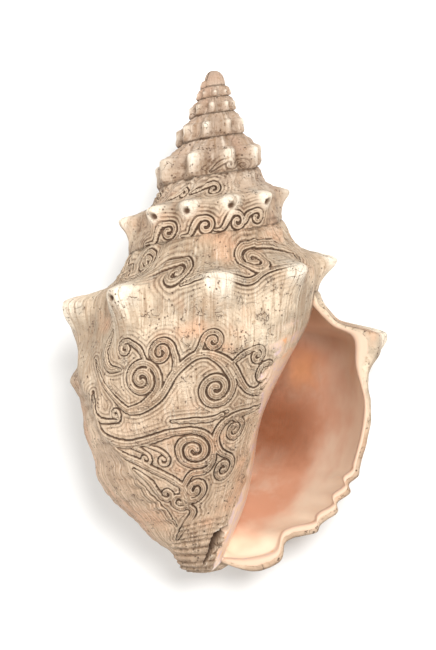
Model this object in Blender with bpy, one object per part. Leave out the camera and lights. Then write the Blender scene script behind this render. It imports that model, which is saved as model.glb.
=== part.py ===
"""A conch shell lying on its back, mouth upwards, as one faceted solid.

The shell is a right-handed spiral. Places on it are given by an angle back from the outer lip,
in degrees, which runs up to the apex through all the whorls, and by a place along the section:
from the seam above (the suture), over the ramp and the knobbed crest, and down to the tip.
Sections are in millimetres: the radius from the shell's axis and the drop below the apex.
"""

import math

import bmesh
import bpy
import numpy as np
from mathutils import Matrix, Vector

MM = 0.001
TURN = 360.0

# The spiral: a crest of 60 mm radius at the left of the last whorl, shrinking by the turn
SHELL_LENGTH = 201.2
REFERENCE_BACK = 195.0
CREST_RADIUS = 60.0
CREST_DROP = 94.0
RADIUS_RATIO = 0.615
DROP_RATIO = 0.64
SLOWING = 120.0
APEX_BLUNTING = 5.0
APEX_BLUNT_DEPTH = 9.0
LIP_AZIMUTH = -15.0
LAST_BACK = 2040.0
COLUMNS_PER_TURN = 60

# The seam above a whorl, as shares of the crest's radius, and how the lip lowers it
SUTURE_RADIUS = 0.56
SUTURE_RISE = 0.33
LIP_SUTURE_RADIUS = 0.04
LIP_SUTURE_RISE = -0.08
LIP_SUTURE_REACH = 70.0
APEX_SUTURE_RADIUS = 0.34
APEX_SUTURE_DEPTH = 22.0
APEX_DOME = ((0.03, 0.38), (0.2, 0.68), (0.5, 0.92))

# The section between knobs: the ramp's two points, as shares of the way from seam to crest
BETWEEN_KNOBS = 0.86
BELOW_CREST = 0.88
BELOW_CREST_PLACE = 4
RAMP = ((0.17, 0.35), (0.47, 0.66))

# The tip leans to the left of the axis
TIP_LEAN = 5.6
LEAN_START = 152.0

# Sections below the crest, from the lip inwards: radius and drop at each of fourteen places.
# From 360 degrees on they are the columella and the inner wall of the mouth.
BODY_SECTIONS = {
    0.0: (
        (63.3, 131.0), (63.3, 139.0), (62.2, 146.5), (60.5, 153.5), (58.5, 160.5),
        (55.0, 168.0), (51.5, 176.0), (44.5, 184.0), (34.5, 187.5), (32.0, 196.0),
        (20.5, 200.0), (8.3, 196.6), (4.5, 200.0), (0.0, SHELL_LENGTH),
    ),
    20.0: (
        (59.6, 129.0), (59.4, 137.5), (58.2, 146.0), (56.2, 154.0), (53.8, 161.5),
        (50.0, 169.0), (45.5, 176.5), (38.0, 183.5), (30.0, 187.8), (22.5, 193.0),
        (15.0, 197.0), (9.6, 198.6), (5.0, 200.7), (0.0, SHELL_LENGTH),
    ),
    105.0: (
        (57.0, 124.5), (56.5, 134.0), (55.3, 143.0), (53.2, 151.5), (50.5, 159.5),
        (47.0, 167.0), (41.5, 175.0), (33.5, 182.3), (25.0, 188.0), (17.0, 193.0),
        (12.0, 196.8), (8.8, 199.0), (5.0, 200.8), (0.0, SHELL_LENGTH),
    ),
    195.0: (
        (53.6, 116.8), (54.0, 126.0), (52.8, 136.0), (51.4, 147.0), (47.8, 156.0),
        (45.5, 164.0), (38.6, 172.0), (28.5, 180.0), (20.4, 187.5), (13.0, 192.0),
        (10.0, 195.5), (8.0, 198.5), (4.8, 200.7), (0.0, SHELL_LENGTH),
    ),
    285.0: (
        (48.2, 104.0), (47.6, 114.0), (44.6, 126.0), (39.4, 139.0), (33.5, 149.5),
        (28.0, 158.5), (21.5, 169.5), (16.5, 178.5), (12.8, 186.0), (10.6, 190.5),
        (9.2, 194.0), (7.8, 197.5), (4.6, 200.4), (0.0, SHELL_LENGTH),
    ),
    360.0: (
        (41.0, 88.8), (38.2, 101.0), (31.6, 113.0), (24.6, 124.4), (20.2, 134.0),
        (17.6, 146.0), (16.0, 161.6), (14.8, 174.0), (12.2, 184.5), (10.8, 189.5),
        (9.6, 193.0), (8.3, 196.6), (4.5, 200.0), (0.0, SHELL_LENGTH),
    ),
    450.0: (
        (37.4, 82.0), (36.0, 92.0), (31.0, 103.0), (25.0, 114.0), (19.5, 124.0),
        (15.5, 135.0), (13.0, 148.0), (11.8, 160.0), (11.0, 170.0), (10.4, 176.0),
        (9.8, 181.0), (9.3, 185.0), (5.0, 190.0), (0.0, 195.0),
    ),
    555.0: (
        (33.6, 74.2), (31.8, 83.0), (27.0, 92.0), (21.0, 101.5), (15.8, 111.0),
        (12.6, 122.0), (11.0, 134.0), (10.0, 146.0), (9.5, 156.0), (9.0, 162.5),
        (8.7, 167.5), (8.4, 172.0), (5.0, 180.0), (0.0, 185.0),
    ),
    630.0: (
        (30.3, 67.6), (28.6, 75.0), (24.3, 83.5), (18.8, 92.0), (14.0, 101.0),
        (11.3, 111.0), (10.0, 122.0), (9.2, 133.0), (8.7, 142.0), (8.4, 148.0),
        (8.2, 153.0), (8.0, 158.0), (5.0, 165.0), (0.0, 170.0),
    ),
}
CREST_PLACE = 3
SEAM_PLACE = 5
NOTCH_PLACE = 16
TIP_PLACE = 18

# Rows of the mesh along the section, by place
WHORL_ROWS = (0.0, 1.1, 2.1, 3.0, 3.7, 4.35, 5.0)
BODY_ROWS = (
    5.2, 5.45, 6.2, 7.0, 7.8, 8.6, 9.4, 10.2, 11.0, 11.8, 12.6, 13.3, 14.0, 14.7, 15.3,
    15.65, 16.0, 17.0,
)
RIM_STEPS = 2

# Knobs: where each stands on the last two whorls, then one every 41 degrees
KNOB_BACKS = (
    23.0, 67.0, 112.0, 155.0, 200.0, 243.0, 287.0, 326.0, 374.0, 419.0, 463.0, 508.0, 557.0,
    600.0, 627.0, 657.0, 688.0, 735.0,
)
KNOB_SPACING = 41.0
KNOB_HALF_WIDTH = 12.5
KNOB_HEIGHT = 0.17
KNOB_LIFT = 0.02
KNOB_PLACE = 3.2
KNOB_RISE = 0.55
KNOB_FALL = 1.3
KNOB_SINK = 0.03

# The horn of the lip, the ridge under the left knob with its second knob, and the lip's folds
HORN_BACK = 4.0
HORN_WIDTH = 9.0
HORN_HEIGHT = 10.0
HORN_FALL = 0.8
RIDGE_TOP_BACK = 208.0
RIDGE_LEAN = 6.5
RIDGE_HALF_WIDTH = 5.0
RIDGE_HEIGHT = 2.0
RIDGE_PLACES = (4.0, 5.0, 8.5, 11.5)
SECOND_KNOB_AT = (202.0, 5.9)
SECOND_KNOB_SIZE = (6.0, 0.55)
SECOND_KNOB_HEIGHT = 4.0
FOLD_PLACES = (8.5, 13.0)
FOLD_COUNT = 4.5
FOLD_HEIGHT = 1.3
FOLD_REACH = 22.0
FOLD_EASE = 4.0

# The mouth: its wall, how far it winds back, and the rounded pocket at its end
WALL = 4.4
LIP_WALL = 2.8
LIP_WALL_REACH = 25.0
RIM_ROUNDING = 1.3
MOUTH_BACK = 216.0
POCKET_LENGTH = 42.0
POCKET_NARROWING = 0.985

# The mouth's outer wall skips the seam's place, so each of its own points stands for these places
WALL_PLACES = (0.0, 2.0, NOTCH_PLACE - 1.0, NOTCH_PLACE)
WALL_POINTS = (0.0, 1.0, NOTCH_PLACE - 2.0, NOTCH_PLACE - 1.0)

# How the shell lies: turned about its length, then about its width, in degrees
REST_ROLL = 13.3
REST_PITCH = 10.0

SHELL_COLOUR = (0.66, 0.53, 0.39, 1.0)
SHELL_ROUGHNESS = 0.55


def smooth_step(x):
    """0 below 0, 1 above 1, and a smooth S between."""
    x = np.clip(x, 0.0, 1.0)
    return x * x * (3.0 - 2.0 * x)


def bell(x, half_width):
    """A bell of height 1 round 0."""
    return np.exp(-np.square(x / half_width))


def growth_turns(back):
    """Turns above the reference crest. Growth slows as the lip comes near."""
    before = np.minimum(back - REFERENCE_BACK, 0.0)
    slowed = -SLOWING * (1.0 - np.exp(before / SLOWING))
    return (np.maximum(back - REFERENCE_BACK, 0.0) + slowed) / TURN


def crest(back):
    """Radius and drop of the line through the knobs' tips."""
    turns = growth_turns(back)
    drop = CREST_DROP * DROP_RATIO**turns
    blunting = APEX_BLUNTING * np.exp(-drop / APEX_BLUNT_DEPTH)
    return CREST_RADIUS * RADIUS_RATIO**turns + blunting, drop


def suture(back):
    """Radius and drop of the seam above the whorl."""
    radius, drop = crest(back)
    near_lip = bell(back, LIP_SUTURE_REACH)
    near_apex = np.exp(-drop / APEX_SUTURE_DEPTH)
    share = SUTURE_RADIUS + LIP_SUTURE_RADIUS * near_lip + APEX_SUTURE_RADIUS * near_apex
    seam_radius = radius * share
    return seam_radius, drop - radius * (SUTURE_RISE + LIP_SUTURE_RISE * near_lip)


def between_stations(back, stations, values):
    """Values at each angle, by a smooth cubic through those at the stations."""
    slopes = np.gradient(values, stations, axis=0)
    at = np.clip(back, stations[0], stations[-1])
    index = np.clip(np.searchsorted(stations, at, side="right") - 1, 0, len(stations) - 2)
    width = stations[index + 1] - stations[index]
    shape = (-1,) + (1,) * (values.ndim - 1)
    t = ((at - stations[index]) / width).reshape(shape)
    width = width.reshape(shape)
    start = (1.0 + 2.0 * t) * (1.0 - t) ** 2 * values[index] + t * (1.0 - t) ** 2 * width * slopes[index]
    end = t * t * (3.0 - 2.0 * t) * values[index + 1] + t * t * (t - 1.0) * width * slopes[index + 1]
    return start + end


def section_points(back):
    """The points that carry the section at each angle: an array of angles, places, (radius, drop)."""
    stations = np.array(sorted(BODY_SECTIONS))
    table = np.array([BODY_SECTIONS[s] for s in stations])
    points = np.zeros((len(back), TIP_PLACE + 1, 2))
    points[:, SEAM_PLACE:] = between_stations(back, stations, table)
    crest_radius, crest_drop = crest(back)
    seam_radius, seam_drop = suture(back)
    points[:, 0] = np.stack([seam_radius, seam_drop], axis=1)
    between = BETWEEN_KNOBS * crest_radius
    for place, (out, down) in enumerate(RAMP, start=1):
        points[:, place, 0] = seam_radius + out * (between - seam_radius)
        points[:, place, 1] = seam_drop + down * (crest_drop - seam_drop)
    points[:, CREST_PLACE] = np.stack([between, crest_drop], axis=1)
    above = back >= TURN
    next_radius, next_drop = suture(back[above] - TURN)
    points[above, SEAM_PLACE] = np.stack([next_radius, next_drop], axis=1)
    points[:, BELOW_CREST_PLACE, 0] = BELOW_CREST * crest_radius
    points[:, BELOW_CREST_PLACE, 1] = 0.5 * (crest_drop + points[:, SEAM_PLACE, 1])
    beyond = back > stations[-1]
    points[beyond, SEAM_PLACE + 1] = 2.0 * points[beyond, SEAM_PLACE] - points[beyond, BELOW_CREST_PLACE]
    return points


def along(points, places):
    """The section at each place, by a smooth curve through its points."""
    last = points.shape[1] - 1
    padded = np.concatenate(
        [2.0 * points[:, :1] - points[:, 1:2], points, 2.0 * points[:, -1:] - points[:, -2:-1]], axis=1
    )
    index = np.clip(np.floor(places).astype(int), 0, last - 1)
    t = (places - index)[None, :, None]
    before, start, end, after = (padded[:, index + n] for n in range(4))
    return 0.5 * (
        2.0 * start
        + (end - before) * t
        + (2.0 * before - 5.0 * start + 4.0 * end - after) * t * t
        + (3.0 * start - before - 3.0 * end + after) * t**3
    )


def knob_backs():
    """The angle of every knob, up to the apex."""
    more = np.arange(KNOB_BACKS[-1] + KNOB_SPACING, LAST_BACK + TURN, KNOB_SPACING)
    return np.concatenate([KNOB_BACKS, more])


def folds(back, places):
    """How far the lip's scalloped folds push its wall out, at each angle and place."""
    start, end = FOLD_PLACES
    share = (places - start) / (end - start)
    window = smooth_step(share * FOLD_EASE) * smooth_step((1.0 - share) * FOLD_EASE)
    wave = -np.cos(2.0 * math.pi * FOLD_COUNT * share)
    return FOLD_HEIGHT * np.exp(-back / FOLD_REACH)[:, None] * (window * wave)[None, :]


def relief(back, places):
    """How far knobs, ridge and horn push the surface out and up, at each angle and place."""
    crest_radius = crest(back)[0][:, None]
    height = np.zeros((len(back), len(places)))
    for knob in knob_backs():
        height = np.maximum(height, bell(back - knob, KNOB_HALF_WIDTH)[:, None])
    below_crest = places > KNOB_PLACE
    rise = bell(places - KNOB_PLACE, np.where(below_crest, KNOB_FALL, KNOB_RISE))[None, :]
    horn_rise = bell(places - KNOB_PLACE, np.where(below_crest, HORN_FALL, KNOB_RISE))[None, :]
    knobs = crest_radius * (KNOB_HEIGHT * height - KNOB_SINK) * rise
    horn = HORN_HEIGHT * bell(back - HORN_BACK, HORN_WIDTH)[:, None] * horn_rise
    out = np.maximum(knobs, horn)
    lean = RIDGE_TOP_BACK + RIDGE_LEAN * (places - SEAM_PLACE)
    ridge_window = np.interp(places, RIDGE_PLACES, (0.0, 1.0, 1.0, 0.0))
    ridge = bell(back[:, None] - lean[None, :], RIDGE_HALF_WIDTH) * smooth_step(ridge_window)
    out = out + RIDGE_HEIGHT * ridge
    (knob_back, knob_place), (knob_width, knob_length) = SECOND_KNOB_AT, SECOND_KNOB_SIZE
    spot = bell(back - knob_back, knob_width)[:, None] * bell(places - knob_place, knob_length)[None, :]
    out = out + SECOND_KNOB_HEIGHT * spot
    return out, KNOB_LIFT * crest_radius * height * rise


def shell_space(back, radius, drop):
    """From angle, radius and drop to the shell's own right, apex and front directions."""
    azimuth = np.radians(back + LIP_AZIMUTH)[:, None]
    lean = TIP_LEAN * smooth_step((drop - LEAN_START) / (SHELL_LENGTH - LEAN_START))
    right = radius * np.cos(azimuth) - lean
    front = -radius * np.sin(azimuth)
    return np.stack([right, SHELL_LENGTH - drop, front], axis=-1)


def outer_surface(back, places):
    """Points of the outside, an array of angles and places."""
    section = along(section_points(back), places)
    out, up = relief(back, places)
    radius = section[..., 0] + out + folds(back, places)
    return shell_space(back, radius, section[..., 1] - up)


def mouth_walls(back, rows, first, last):
    """The mouth's two walls at each angle: the outer one, on all rows, and the inner one."""
    inner_points = section_points(back + TURN)
    inner = along(inner_points, rows)
    top = inner[:, first]
    foot = inner[:, last]
    points = section_points(back)[:, : NOTCH_PLACE]
    tangent = np.gradient(points, axis=1)
    length = np.linalg.norm(tangent, axis=-1, keepdims=True)
    normal = np.stack([-tangent[..., 1], tangent[..., 0]], axis=-1) / length
    wall = LIP_WALL + (WALL - LIP_WALL) * (1.0 - np.exp(-back / LIP_WALL_REACH))
    lining = points + normal * wall[:, None, None]
    share = (lining[:, 2:, 1] - top[:, None, 1]) / (lining[:, -1, 1] - top[:, 1])[:, None]
    lining[:, 2:, 1] = top[:, None, 1] + share * (foot[:, 1] - top[:, 1])[:, None]
    carried = np.concatenate([top[:, None], lining[:, 2:], foot[:, None]], axis=1)
    outer_rows = np.interp(rows[: last + RIM_STEPS + 1], WALL_PLACES, WALL_POINTS)
    outer = along(carried, outer_rows)
    outer[..., 0] += folds(back, rows[: last + RIM_STEPS + 1])
    return outer, inner


def pocket(ring, back):
    """Draw the rings of the mouth in towards their middles, so that it ends in a round pocket."""
    depth = np.clip((back - (MOUTH_BACK - POCKET_LENGTH)) / POCKET_LENGTH, 0.0, POCKET_NARROWING)
    middle = ring.mean(axis=1, keepdims=True)
    return middle + (ring - middle) * np.sqrt(1.0 - depth**2)[:, None, None]


class Skin:
    """The closed skin of the shell: a list of points and of faces between them."""

    def __init__(self):
        self.points = []
        self.faces = []

    def add(self, points):
        """Add points, and give their numbers."""
        points = np.asarray(points)
        start = len(self.points)
        self.points.extend(points.reshape(-1, 3))
        return np.arange(start, start + points[..., 0].size).reshape(points.shape[:-1])

    def sheet(self, numbers):
        """Faces between neighbouring rows and columns. Corners that are one point make a triangle."""
        corner_grids = (numbers[:-1, :-1], numbers[:-1, 1:], numbers[1:, 1:], numbers[1:, :-1])
        for four in zip(*(grid.ravel() for grid in corner_grids)):
            corners = list(dict.fromkeys(int(n) for n in four))
            if len(corners) > 2:
                self.faces.append(corners)

    def fan(self, loop, point):
        """Triangles from a loop of numbers to one point."""
        for a, b in zip(loop, np.roll(loop, -1)):
            self.faces.append([int(a), int(b), int(point)])


def build_skin():
    """The whole surface: outside, apex, rim of the lip, and the mouth."""
    skin = Skin()
    step = TURN / COLUMNS_PER_TURN
    rows = np.array(WHORL_ROWS + BODY_ROWS)
    seam_row = len(WHORL_ROWS) - 1
    notch_row = int(np.argmin(np.abs(rows - NOTCH_PLACE)))
    first, last = seam_row + RIM_STEPS, notch_row - RIM_STEPS

    body_back = np.arange(0, COLUMNS_PER_TURN + 1) * step
    body_points = outer_surface(body_back, rows)
    body = skin.add(body_points)
    body[-1, seam_row] = body[0, 0]
    body[-1, notch_row:] = body[0, notch_row:]

    spire_back = np.arange(COLUMNS_PER_TURN, round(LAST_BACK / step) + 1) * step
    spire = skin.add(outer_surface(spire_back, rows[: seam_row + 1]))
    spire[0, :seam_row] = body[-1, :seam_row]
    upper_edge = np.concatenate([body[:-1, 0], spire[:, 0]])
    spire[:, seam_row] = upper_edge[: len(spire)]
    skin.sheet(body)
    skin.sheet(spire)
    tip = skin.add([[-TIP_LEAN, 0.0, 0.0]])[0]
    skin.fan(body[:-1, -1], tip)

    loop = np.concatenate([upper_edge[-COLUMNS_PER_TURN - 1 :], spire[-1, 1:seam_row]])
    apex = np.array([0.0, SHELL_LENGTH, 0.0])
    ring = np.array([skin.points[n] for n in loop])
    for inward, up in APEX_DOME:
        dome = ring + (apex - ring) * np.array([inward, up, inward])
        inner_loop = skin.add(dome)
        skin.sheet(np.stack([np.append(loop, loop[0]), np.append(inner_loop, inner_loop[0])]))
        loop = inner_loop
    skin.fan(loop, skin.add([apex])[0])

    mouth_back = np.arange(0, round(MOUTH_BACK / step) + 1) * step
    outer, inner = mouth_walls(mouth_back, rows, first, last)
    lining = shell_space(mouth_back, outer[..., 0], outer[..., 1])
    core = shell_space(mouth_back + TURN, inner[..., 0], inner[..., 1])
    ring = np.concatenate([lining, core[:, last - 1 : first : -1]], axis=1)
    rings = skin.add(pocket(ring, mouth_back))
    lining_rows = notch_row + 1
    rings[0, 0] = body[-1, first]
    rings[0, notch_row] = body[-1, last]
    rings[0, lining_rows:] = body[-1, last - 1 : first : -1]
    skin.sheet(np.concatenate([rings, rings[:, :1]], axis=1))
    middle = np.mean([skin.points[n] for n in rings[-1]], axis=0)
    skin.fan(rings[-1], skin.add([middle])[0])

    lip = body_points[0, :lining_rows]
    inside = lining[0, :lining_rows]
    rim = [body[0, :lining_rows]]
    forward = np.array([math.sin(math.radians(LIP_AZIMUTH)), 0.0, math.cos(math.radians(LIP_AZIMUTH))])
    for k in range(1, RIM_STEPS):
        share = k / RIM_STEPS
        bulge = RIM_ROUNDING * math.sin(math.pi * share)
        numbers = skin.add(lip + (inside - lip) * share + forward * bulge)
        numbers[0] = body[-1, seam_row + k]
        numbers[-1] = body[-1, notch_row - k]
        rim.append(numbers)
    rim.append(rings[0, :lining_rows])
    skin.sheet(np.stack(rim))
    return skin


def lay_down(points):
    """Turn the shell as it lies, and put it on the ground with the middle of its box at the origin."""
    roll = Matrix.Rotation(math.radians(REST_ROLL), 3, "Y")
    pitch = Matrix.Rotation(math.radians(REST_PITCH), 3, "X")
    turned = points @ np.array(pitch @ roll).T
    low, high = turned.min(axis=0), turned.max(axis=0)
    return turned - np.array([(low[0] + high[0]) / 2, (low[1] + high[1]) / 2, low[2]])


def shell_material():
    """Chalky cream shell."""
    material = bpy.data.materials.new("shell_cream")
    material.use_nodes = True
    shader = material.node_tree.nodes["Principled BSDF"]
    shader.inputs["Base Color"].default_value = SHELL_COLOUR
    shader.inputs["Roughness"].default_value = SHELL_ROUGHNESS
    shader.inputs["Metallic"].default_value = 0.0
    return material


def make_shell():
    """The shell as one object, its skin closed and facing out."""
    skin = build_skin()
    used = sorted({n for face in skin.faces for n in face})
    new_number = {old: new for new, old in enumerate(used)}
    points = lay_down(np.array(skin.points)[used]) * MM
    mesh = bpy.data.meshes.new("conch_shell")
    mesh.from_pydata([Vector(p) for p in points], [], [[new_number[n] for n in f] for f in skin.faces])
    work = bmesh.new()
    work.from_mesh(mesh)
    bmesh.ops.triangulate(work, faces=work.faces)
    bmesh.ops.recalc_face_normals(work, faces=work.faces)
    if work.calc_volume(signed=True) < 0.0:
        bmesh.ops.reverse_faces(work, faces=work.faces)
    work.to_mesh(mesh)
    work.free()
    mesh.materials.append(shell_material())
    mesh.shade_smooth()
    shell = bpy.data.objects.new("conch_shell", mesh)
    bpy.context.scene.collection.objects.link(shell)


def main():
    for thing in list(bpy.data.objects):
        bpy.data.objects.remove(thing, do_unlink=True)
    make_shell()


main()
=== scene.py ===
"""A carved conch shell lying on its back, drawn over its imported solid."""

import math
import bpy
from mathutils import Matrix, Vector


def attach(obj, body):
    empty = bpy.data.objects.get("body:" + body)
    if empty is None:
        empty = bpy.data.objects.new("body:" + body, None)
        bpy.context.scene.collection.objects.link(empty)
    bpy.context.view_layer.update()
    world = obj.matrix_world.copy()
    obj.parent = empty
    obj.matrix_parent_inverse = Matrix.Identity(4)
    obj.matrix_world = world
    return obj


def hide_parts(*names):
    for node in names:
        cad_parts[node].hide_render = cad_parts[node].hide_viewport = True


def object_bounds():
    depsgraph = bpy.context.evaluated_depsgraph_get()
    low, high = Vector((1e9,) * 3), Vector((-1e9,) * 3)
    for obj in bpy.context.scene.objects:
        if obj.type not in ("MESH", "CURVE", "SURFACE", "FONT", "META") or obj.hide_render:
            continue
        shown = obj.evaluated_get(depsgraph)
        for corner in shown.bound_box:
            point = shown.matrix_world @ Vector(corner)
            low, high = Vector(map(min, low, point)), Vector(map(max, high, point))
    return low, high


bl_info = {
    "name": "Carved conch shell",
    "version": (1, 0, 0),
    "blender": (4, 5, 0),
    "location": "View3D > Sidebar > Conch",
    "description": "A knobbed conch shell with scroll carving, lying on its back",
    "category": "Add Mesh",
}

import bmesh
import bpy
import numpy as np
from mathutils import Matrix, Vector

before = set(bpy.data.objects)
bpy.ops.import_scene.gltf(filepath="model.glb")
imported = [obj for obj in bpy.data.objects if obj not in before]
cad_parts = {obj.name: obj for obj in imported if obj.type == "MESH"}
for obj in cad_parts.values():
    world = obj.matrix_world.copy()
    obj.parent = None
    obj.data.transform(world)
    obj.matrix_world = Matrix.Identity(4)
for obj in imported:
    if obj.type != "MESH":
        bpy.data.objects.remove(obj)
CAD_BOX = [list(corner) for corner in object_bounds()]

MM = 0.001
TURN = 360.0
NODE = "conch_shell"
SHELL_MATERIAL = "carved_shell"

# The spiral: a crest of 60 mm radius at the left of the last whorl, shrinking by the turn
SHELL_LENGTH = 201.2
REFERENCE_BACK = 195.0
CREST_RADIUS = 60.0
CREST_DROP = 94.0
RADIUS_RATIO = 0.615
DROP_RATIO = 0.64
SLOWING = 120.0
APEX_BLUNTING = 5.0
APEX_BLUNT_DEPTH = 9.0
LIP_AZIMUTH = -15.0
LAST_BACK = 2040.0

# The seam above a whorl, as shares of the crest's radius, and how the lip lowers it
SUTURE_RADIUS = 0.56
SUTURE_RISE = 0.33
LIP_SUTURE_RADIUS = 0.04
LIP_SUTURE_RISE = -0.08
LIP_SUTURE_REACH = 70.0
APEX_SUTURE_RADIUS = 0.34
APEX_SUTURE_DEPTH = 22.0

# The section between knobs: the ramp's two points, as shares of the way from seam to crest
BETWEEN_KNOBS = 0.86
BELOW_CREST = 0.88
BELOW_CREST_PLACE = 4
RAMP = ((0.17, 0.35), (0.47, 0.66))

# The tip leans to the left of the axis
TIP_LEAN = 5.6
LEAN_START = 152.0

# Sections below the crest, from the lip inwards: radius and drop at each of fourteen places.
# From 360 degrees on they are the columella and the inner wall of the mouth.
BODY_SECTIONS = {
    0.0: (
        (63.3, 131.0), (63.3, 139.0), (62.2, 146.5), (60.5, 153.5), (58.5, 160.5),
        (55.0, 168.0), (51.5, 176.0), (44.5, 184.0), (34.5, 187.5), (32.0, 196.0),
        (20.5, 200.0), (8.3, 196.6), (4.5, 200.0), (0.0, SHELL_LENGTH),
    ),
    20.0: (
        (59.6, 129.0), (59.4, 137.5), (58.2, 146.0), (56.2, 154.0), (53.8, 161.5),
        (50.0, 169.0), (45.5, 176.5), (38.0, 183.5), (30.0, 187.8), (22.5, 193.0),
        (15.0, 197.0), (9.6, 198.6), (5.0, 200.7), (0.0, SHELL_LENGTH),
    ),
    105.0: (
        (57.0, 124.5), (56.5, 134.0), (55.3, 143.0), (53.2, 151.5), (50.5, 159.5),
        (47.0, 167.0), (41.5, 175.0), (33.5, 182.3), (25.0, 188.0), (17.0, 193.0),
        (12.0, 196.8), (8.8, 199.0), (5.0, 200.8), (0.0, SHELL_LENGTH),
    ),
    195.0: (
        (53.6, 116.8), (54.0, 126.0), (52.8, 136.0), (51.4, 147.0), (47.8, 156.0),
        (45.5, 164.0), (38.6, 172.0), (28.5, 180.0), (20.4, 187.5), (13.0, 192.0),
        (10.0, 195.5), (8.0, 198.5), (4.8, 200.7), (0.0, SHELL_LENGTH),
    ),
    285.0: (
        (48.2, 104.0), (47.6, 114.0), (44.6, 126.0), (39.4, 139.0), (33.5, 149.5),
        (28.0, 158.5), (21.5, 169.5), (16.5, 178.5), (12.8, 186.0), (10.6, 190.5),
        (9.2, 194.0), (7.8, 197.5), (4.6, 200.4), (0.0, SHELL_LENGTH),
    ),
    360.0: (
        (41.0, 88.8), (38.2, 101.0), (31.6, 113.0), (24.6, 124.4), (20.2, 134.0),
        (17.6, 146.0), (16.0, 161.6), (14.8, 174.0), (12.2, 184.5), (10.8, 189.5),
        (9.6, 193.0), (8.3, 196.6), (4.5, 200.0), (0.0, SHELL_LENGTH),
    ),
    450.0: (
        (37.4, 82.0), (36.0, 92.0), (31.0, 103.0), (25.0, 114.0), (19.5, 124.0),
        (15.5, 135.0), (13.0, 148.0), (11.8, 160.0), (11.0, 170.0), (10.4, 176.0),
        (9.8, 181.0), (9.3, 185.0), (5.0, 190.0), (0.0, 195.0),
    ),
    555.0: (
        (33.6, 74.2), (31.8, 83.0), (27.0, 92.0), (21.0, 101.5), (15.8, 111.0),
        (12.6, 122.0), (11.0, 134.0), (10.0, 146.0), (9.5, 156.0), (9.0, 162.5),
        (8.7, 167.5), (8.4, 172.0), (5.0, 180.0), (0.0, 185.0),
    ),
    630.0: (
        (30.3, 67.6), (28.6, 75.0), (24.3, 83.5), (18.8, 92.0), (14.0, 101.0),
        (11.3, 111.0), (10.0, 122.0), (9.2, 133.0), (8.7, 142.0), (8.4, 148.0),
        (8.2, 153.0), (8.0, 158.0), (5.0, 165.0), (0.0, 170.0),
    ),
}
CREST_PLACE = 3
SEAM_PLACE = 5
NOTCH_PLACE = 16
TIP_PLACE = 18

# Knobs: where each stands on the last two whorls, then one every 41 degrees
KNOB_BACKS = (
    23.0, 67.0, 112.0, 155.0, 200.0, 243.0, 287.0, 326.0, 374.0, 419.0, 463.0, 508.0, 557.0,
    600.0, 627.0, 657.0, 688.0, 735.0,
)
KNOB_SPACING = 41.0
KNOB_HALF_WIDTH = 12.5
KNOB_HEIGHT = 0.17
KNOB_LIFT = 0.02
KNOB_PLACE = 3.2
KNOB_RISE = 0.55
KNOB_FALL = 1.3
KNOB_SINK = 0.03

# The horn of the lip, the ridge under the left knob with its second knob, and the lip's folds
HORN_BACK = 4.0
HORN_WIDTH = 9.0
HORN_HEIGHT = 10.0
HORN_FALL = 0.8
RIDGE_TOP_BACK = 208.0
RIDGE_LEAN = 6.5
RIDGE_HALF_WIDTH = 5.0
RIDGE_HEIGHT = 2.0
RIDGE_PLACES = (4.0, 5.0, 8.5, 11.5)
SECOND_KNOB_AT = (202.0, 5.9)
SECOND_KNOB_SIZE = (6.0, 0.55)
SECOND_KNOB_HEIGHT = 4.0
FOLD_PLACES = (8.5, 13.0)
FOLD_COUNT = 4.5
FOLD_HEIGHT = 1.3
FOLD_REACH = 22.0
FOLD_EASE = 4.0

# The mouth: its wall, how far it winds back, and the rounded pocket at its end
WALL = 4.4
LIP_WALL = 2.8
LIP_WALL_REACH = 25.0
RIM_ROUNDING = 1.3
MOUTH_BACK = 216.0
POCKET_LENGTH = 42.0
POCKET_NARROWING = 0.985

# The mouth's outer wall skips the seam's place, so each of its own points stands for these places
WALL_PLACES = (0.0, 2.0, NOTCH_PLACE - 1.0, NOTCH_PLACE)
WALL_POINTS = (0.0, 1.0, NOTCH_PLACE - 2.0, NOTCH_PLACE - 1.0)

# How the shell lies: turned about its length, then about its width, in degrees
REST_ROLL = 13.3
REST_PITCH = 10.0

# Fine rows and columns of the drawn surface, and how its two skins overlap: the degrees, how far
# the end sinks a degree, and the hem under the spire
BODY_COLUMNS = 540
SPIRE_COLUMNS = 360
FINE_WHORL_ROWS = 84
FINE_SPIRE_ROWS = 56
FINE_BODY_ROWS = 176
FINE_RIM_STEPS = 8
FINE_LAST_BACK = 2400.0
MOUTH_COLUMNS = 108
OVERLAP = 4.0
OVERLAP_SINK = 0.15
SKIRT = 1.6

# Carving: ribbons that end in scrolls, with fine lines along them and lines that echo them outside.
# An eye and a fill are shares of the scroll's pitch.
GROOVE_DEPTH = 0.65
RIBBON_HEIGHT = 0.8
ECHO_PITCH = 1.5
ECHO_REACH = 4.0
SCROLL_EYE = 0.3
SCROLL_FILL = 0.43
PATH_STEP = 0.4
LEAST_HALF_WIDTH = 0.3
LEAST_STRETCH = 0.55

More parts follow.
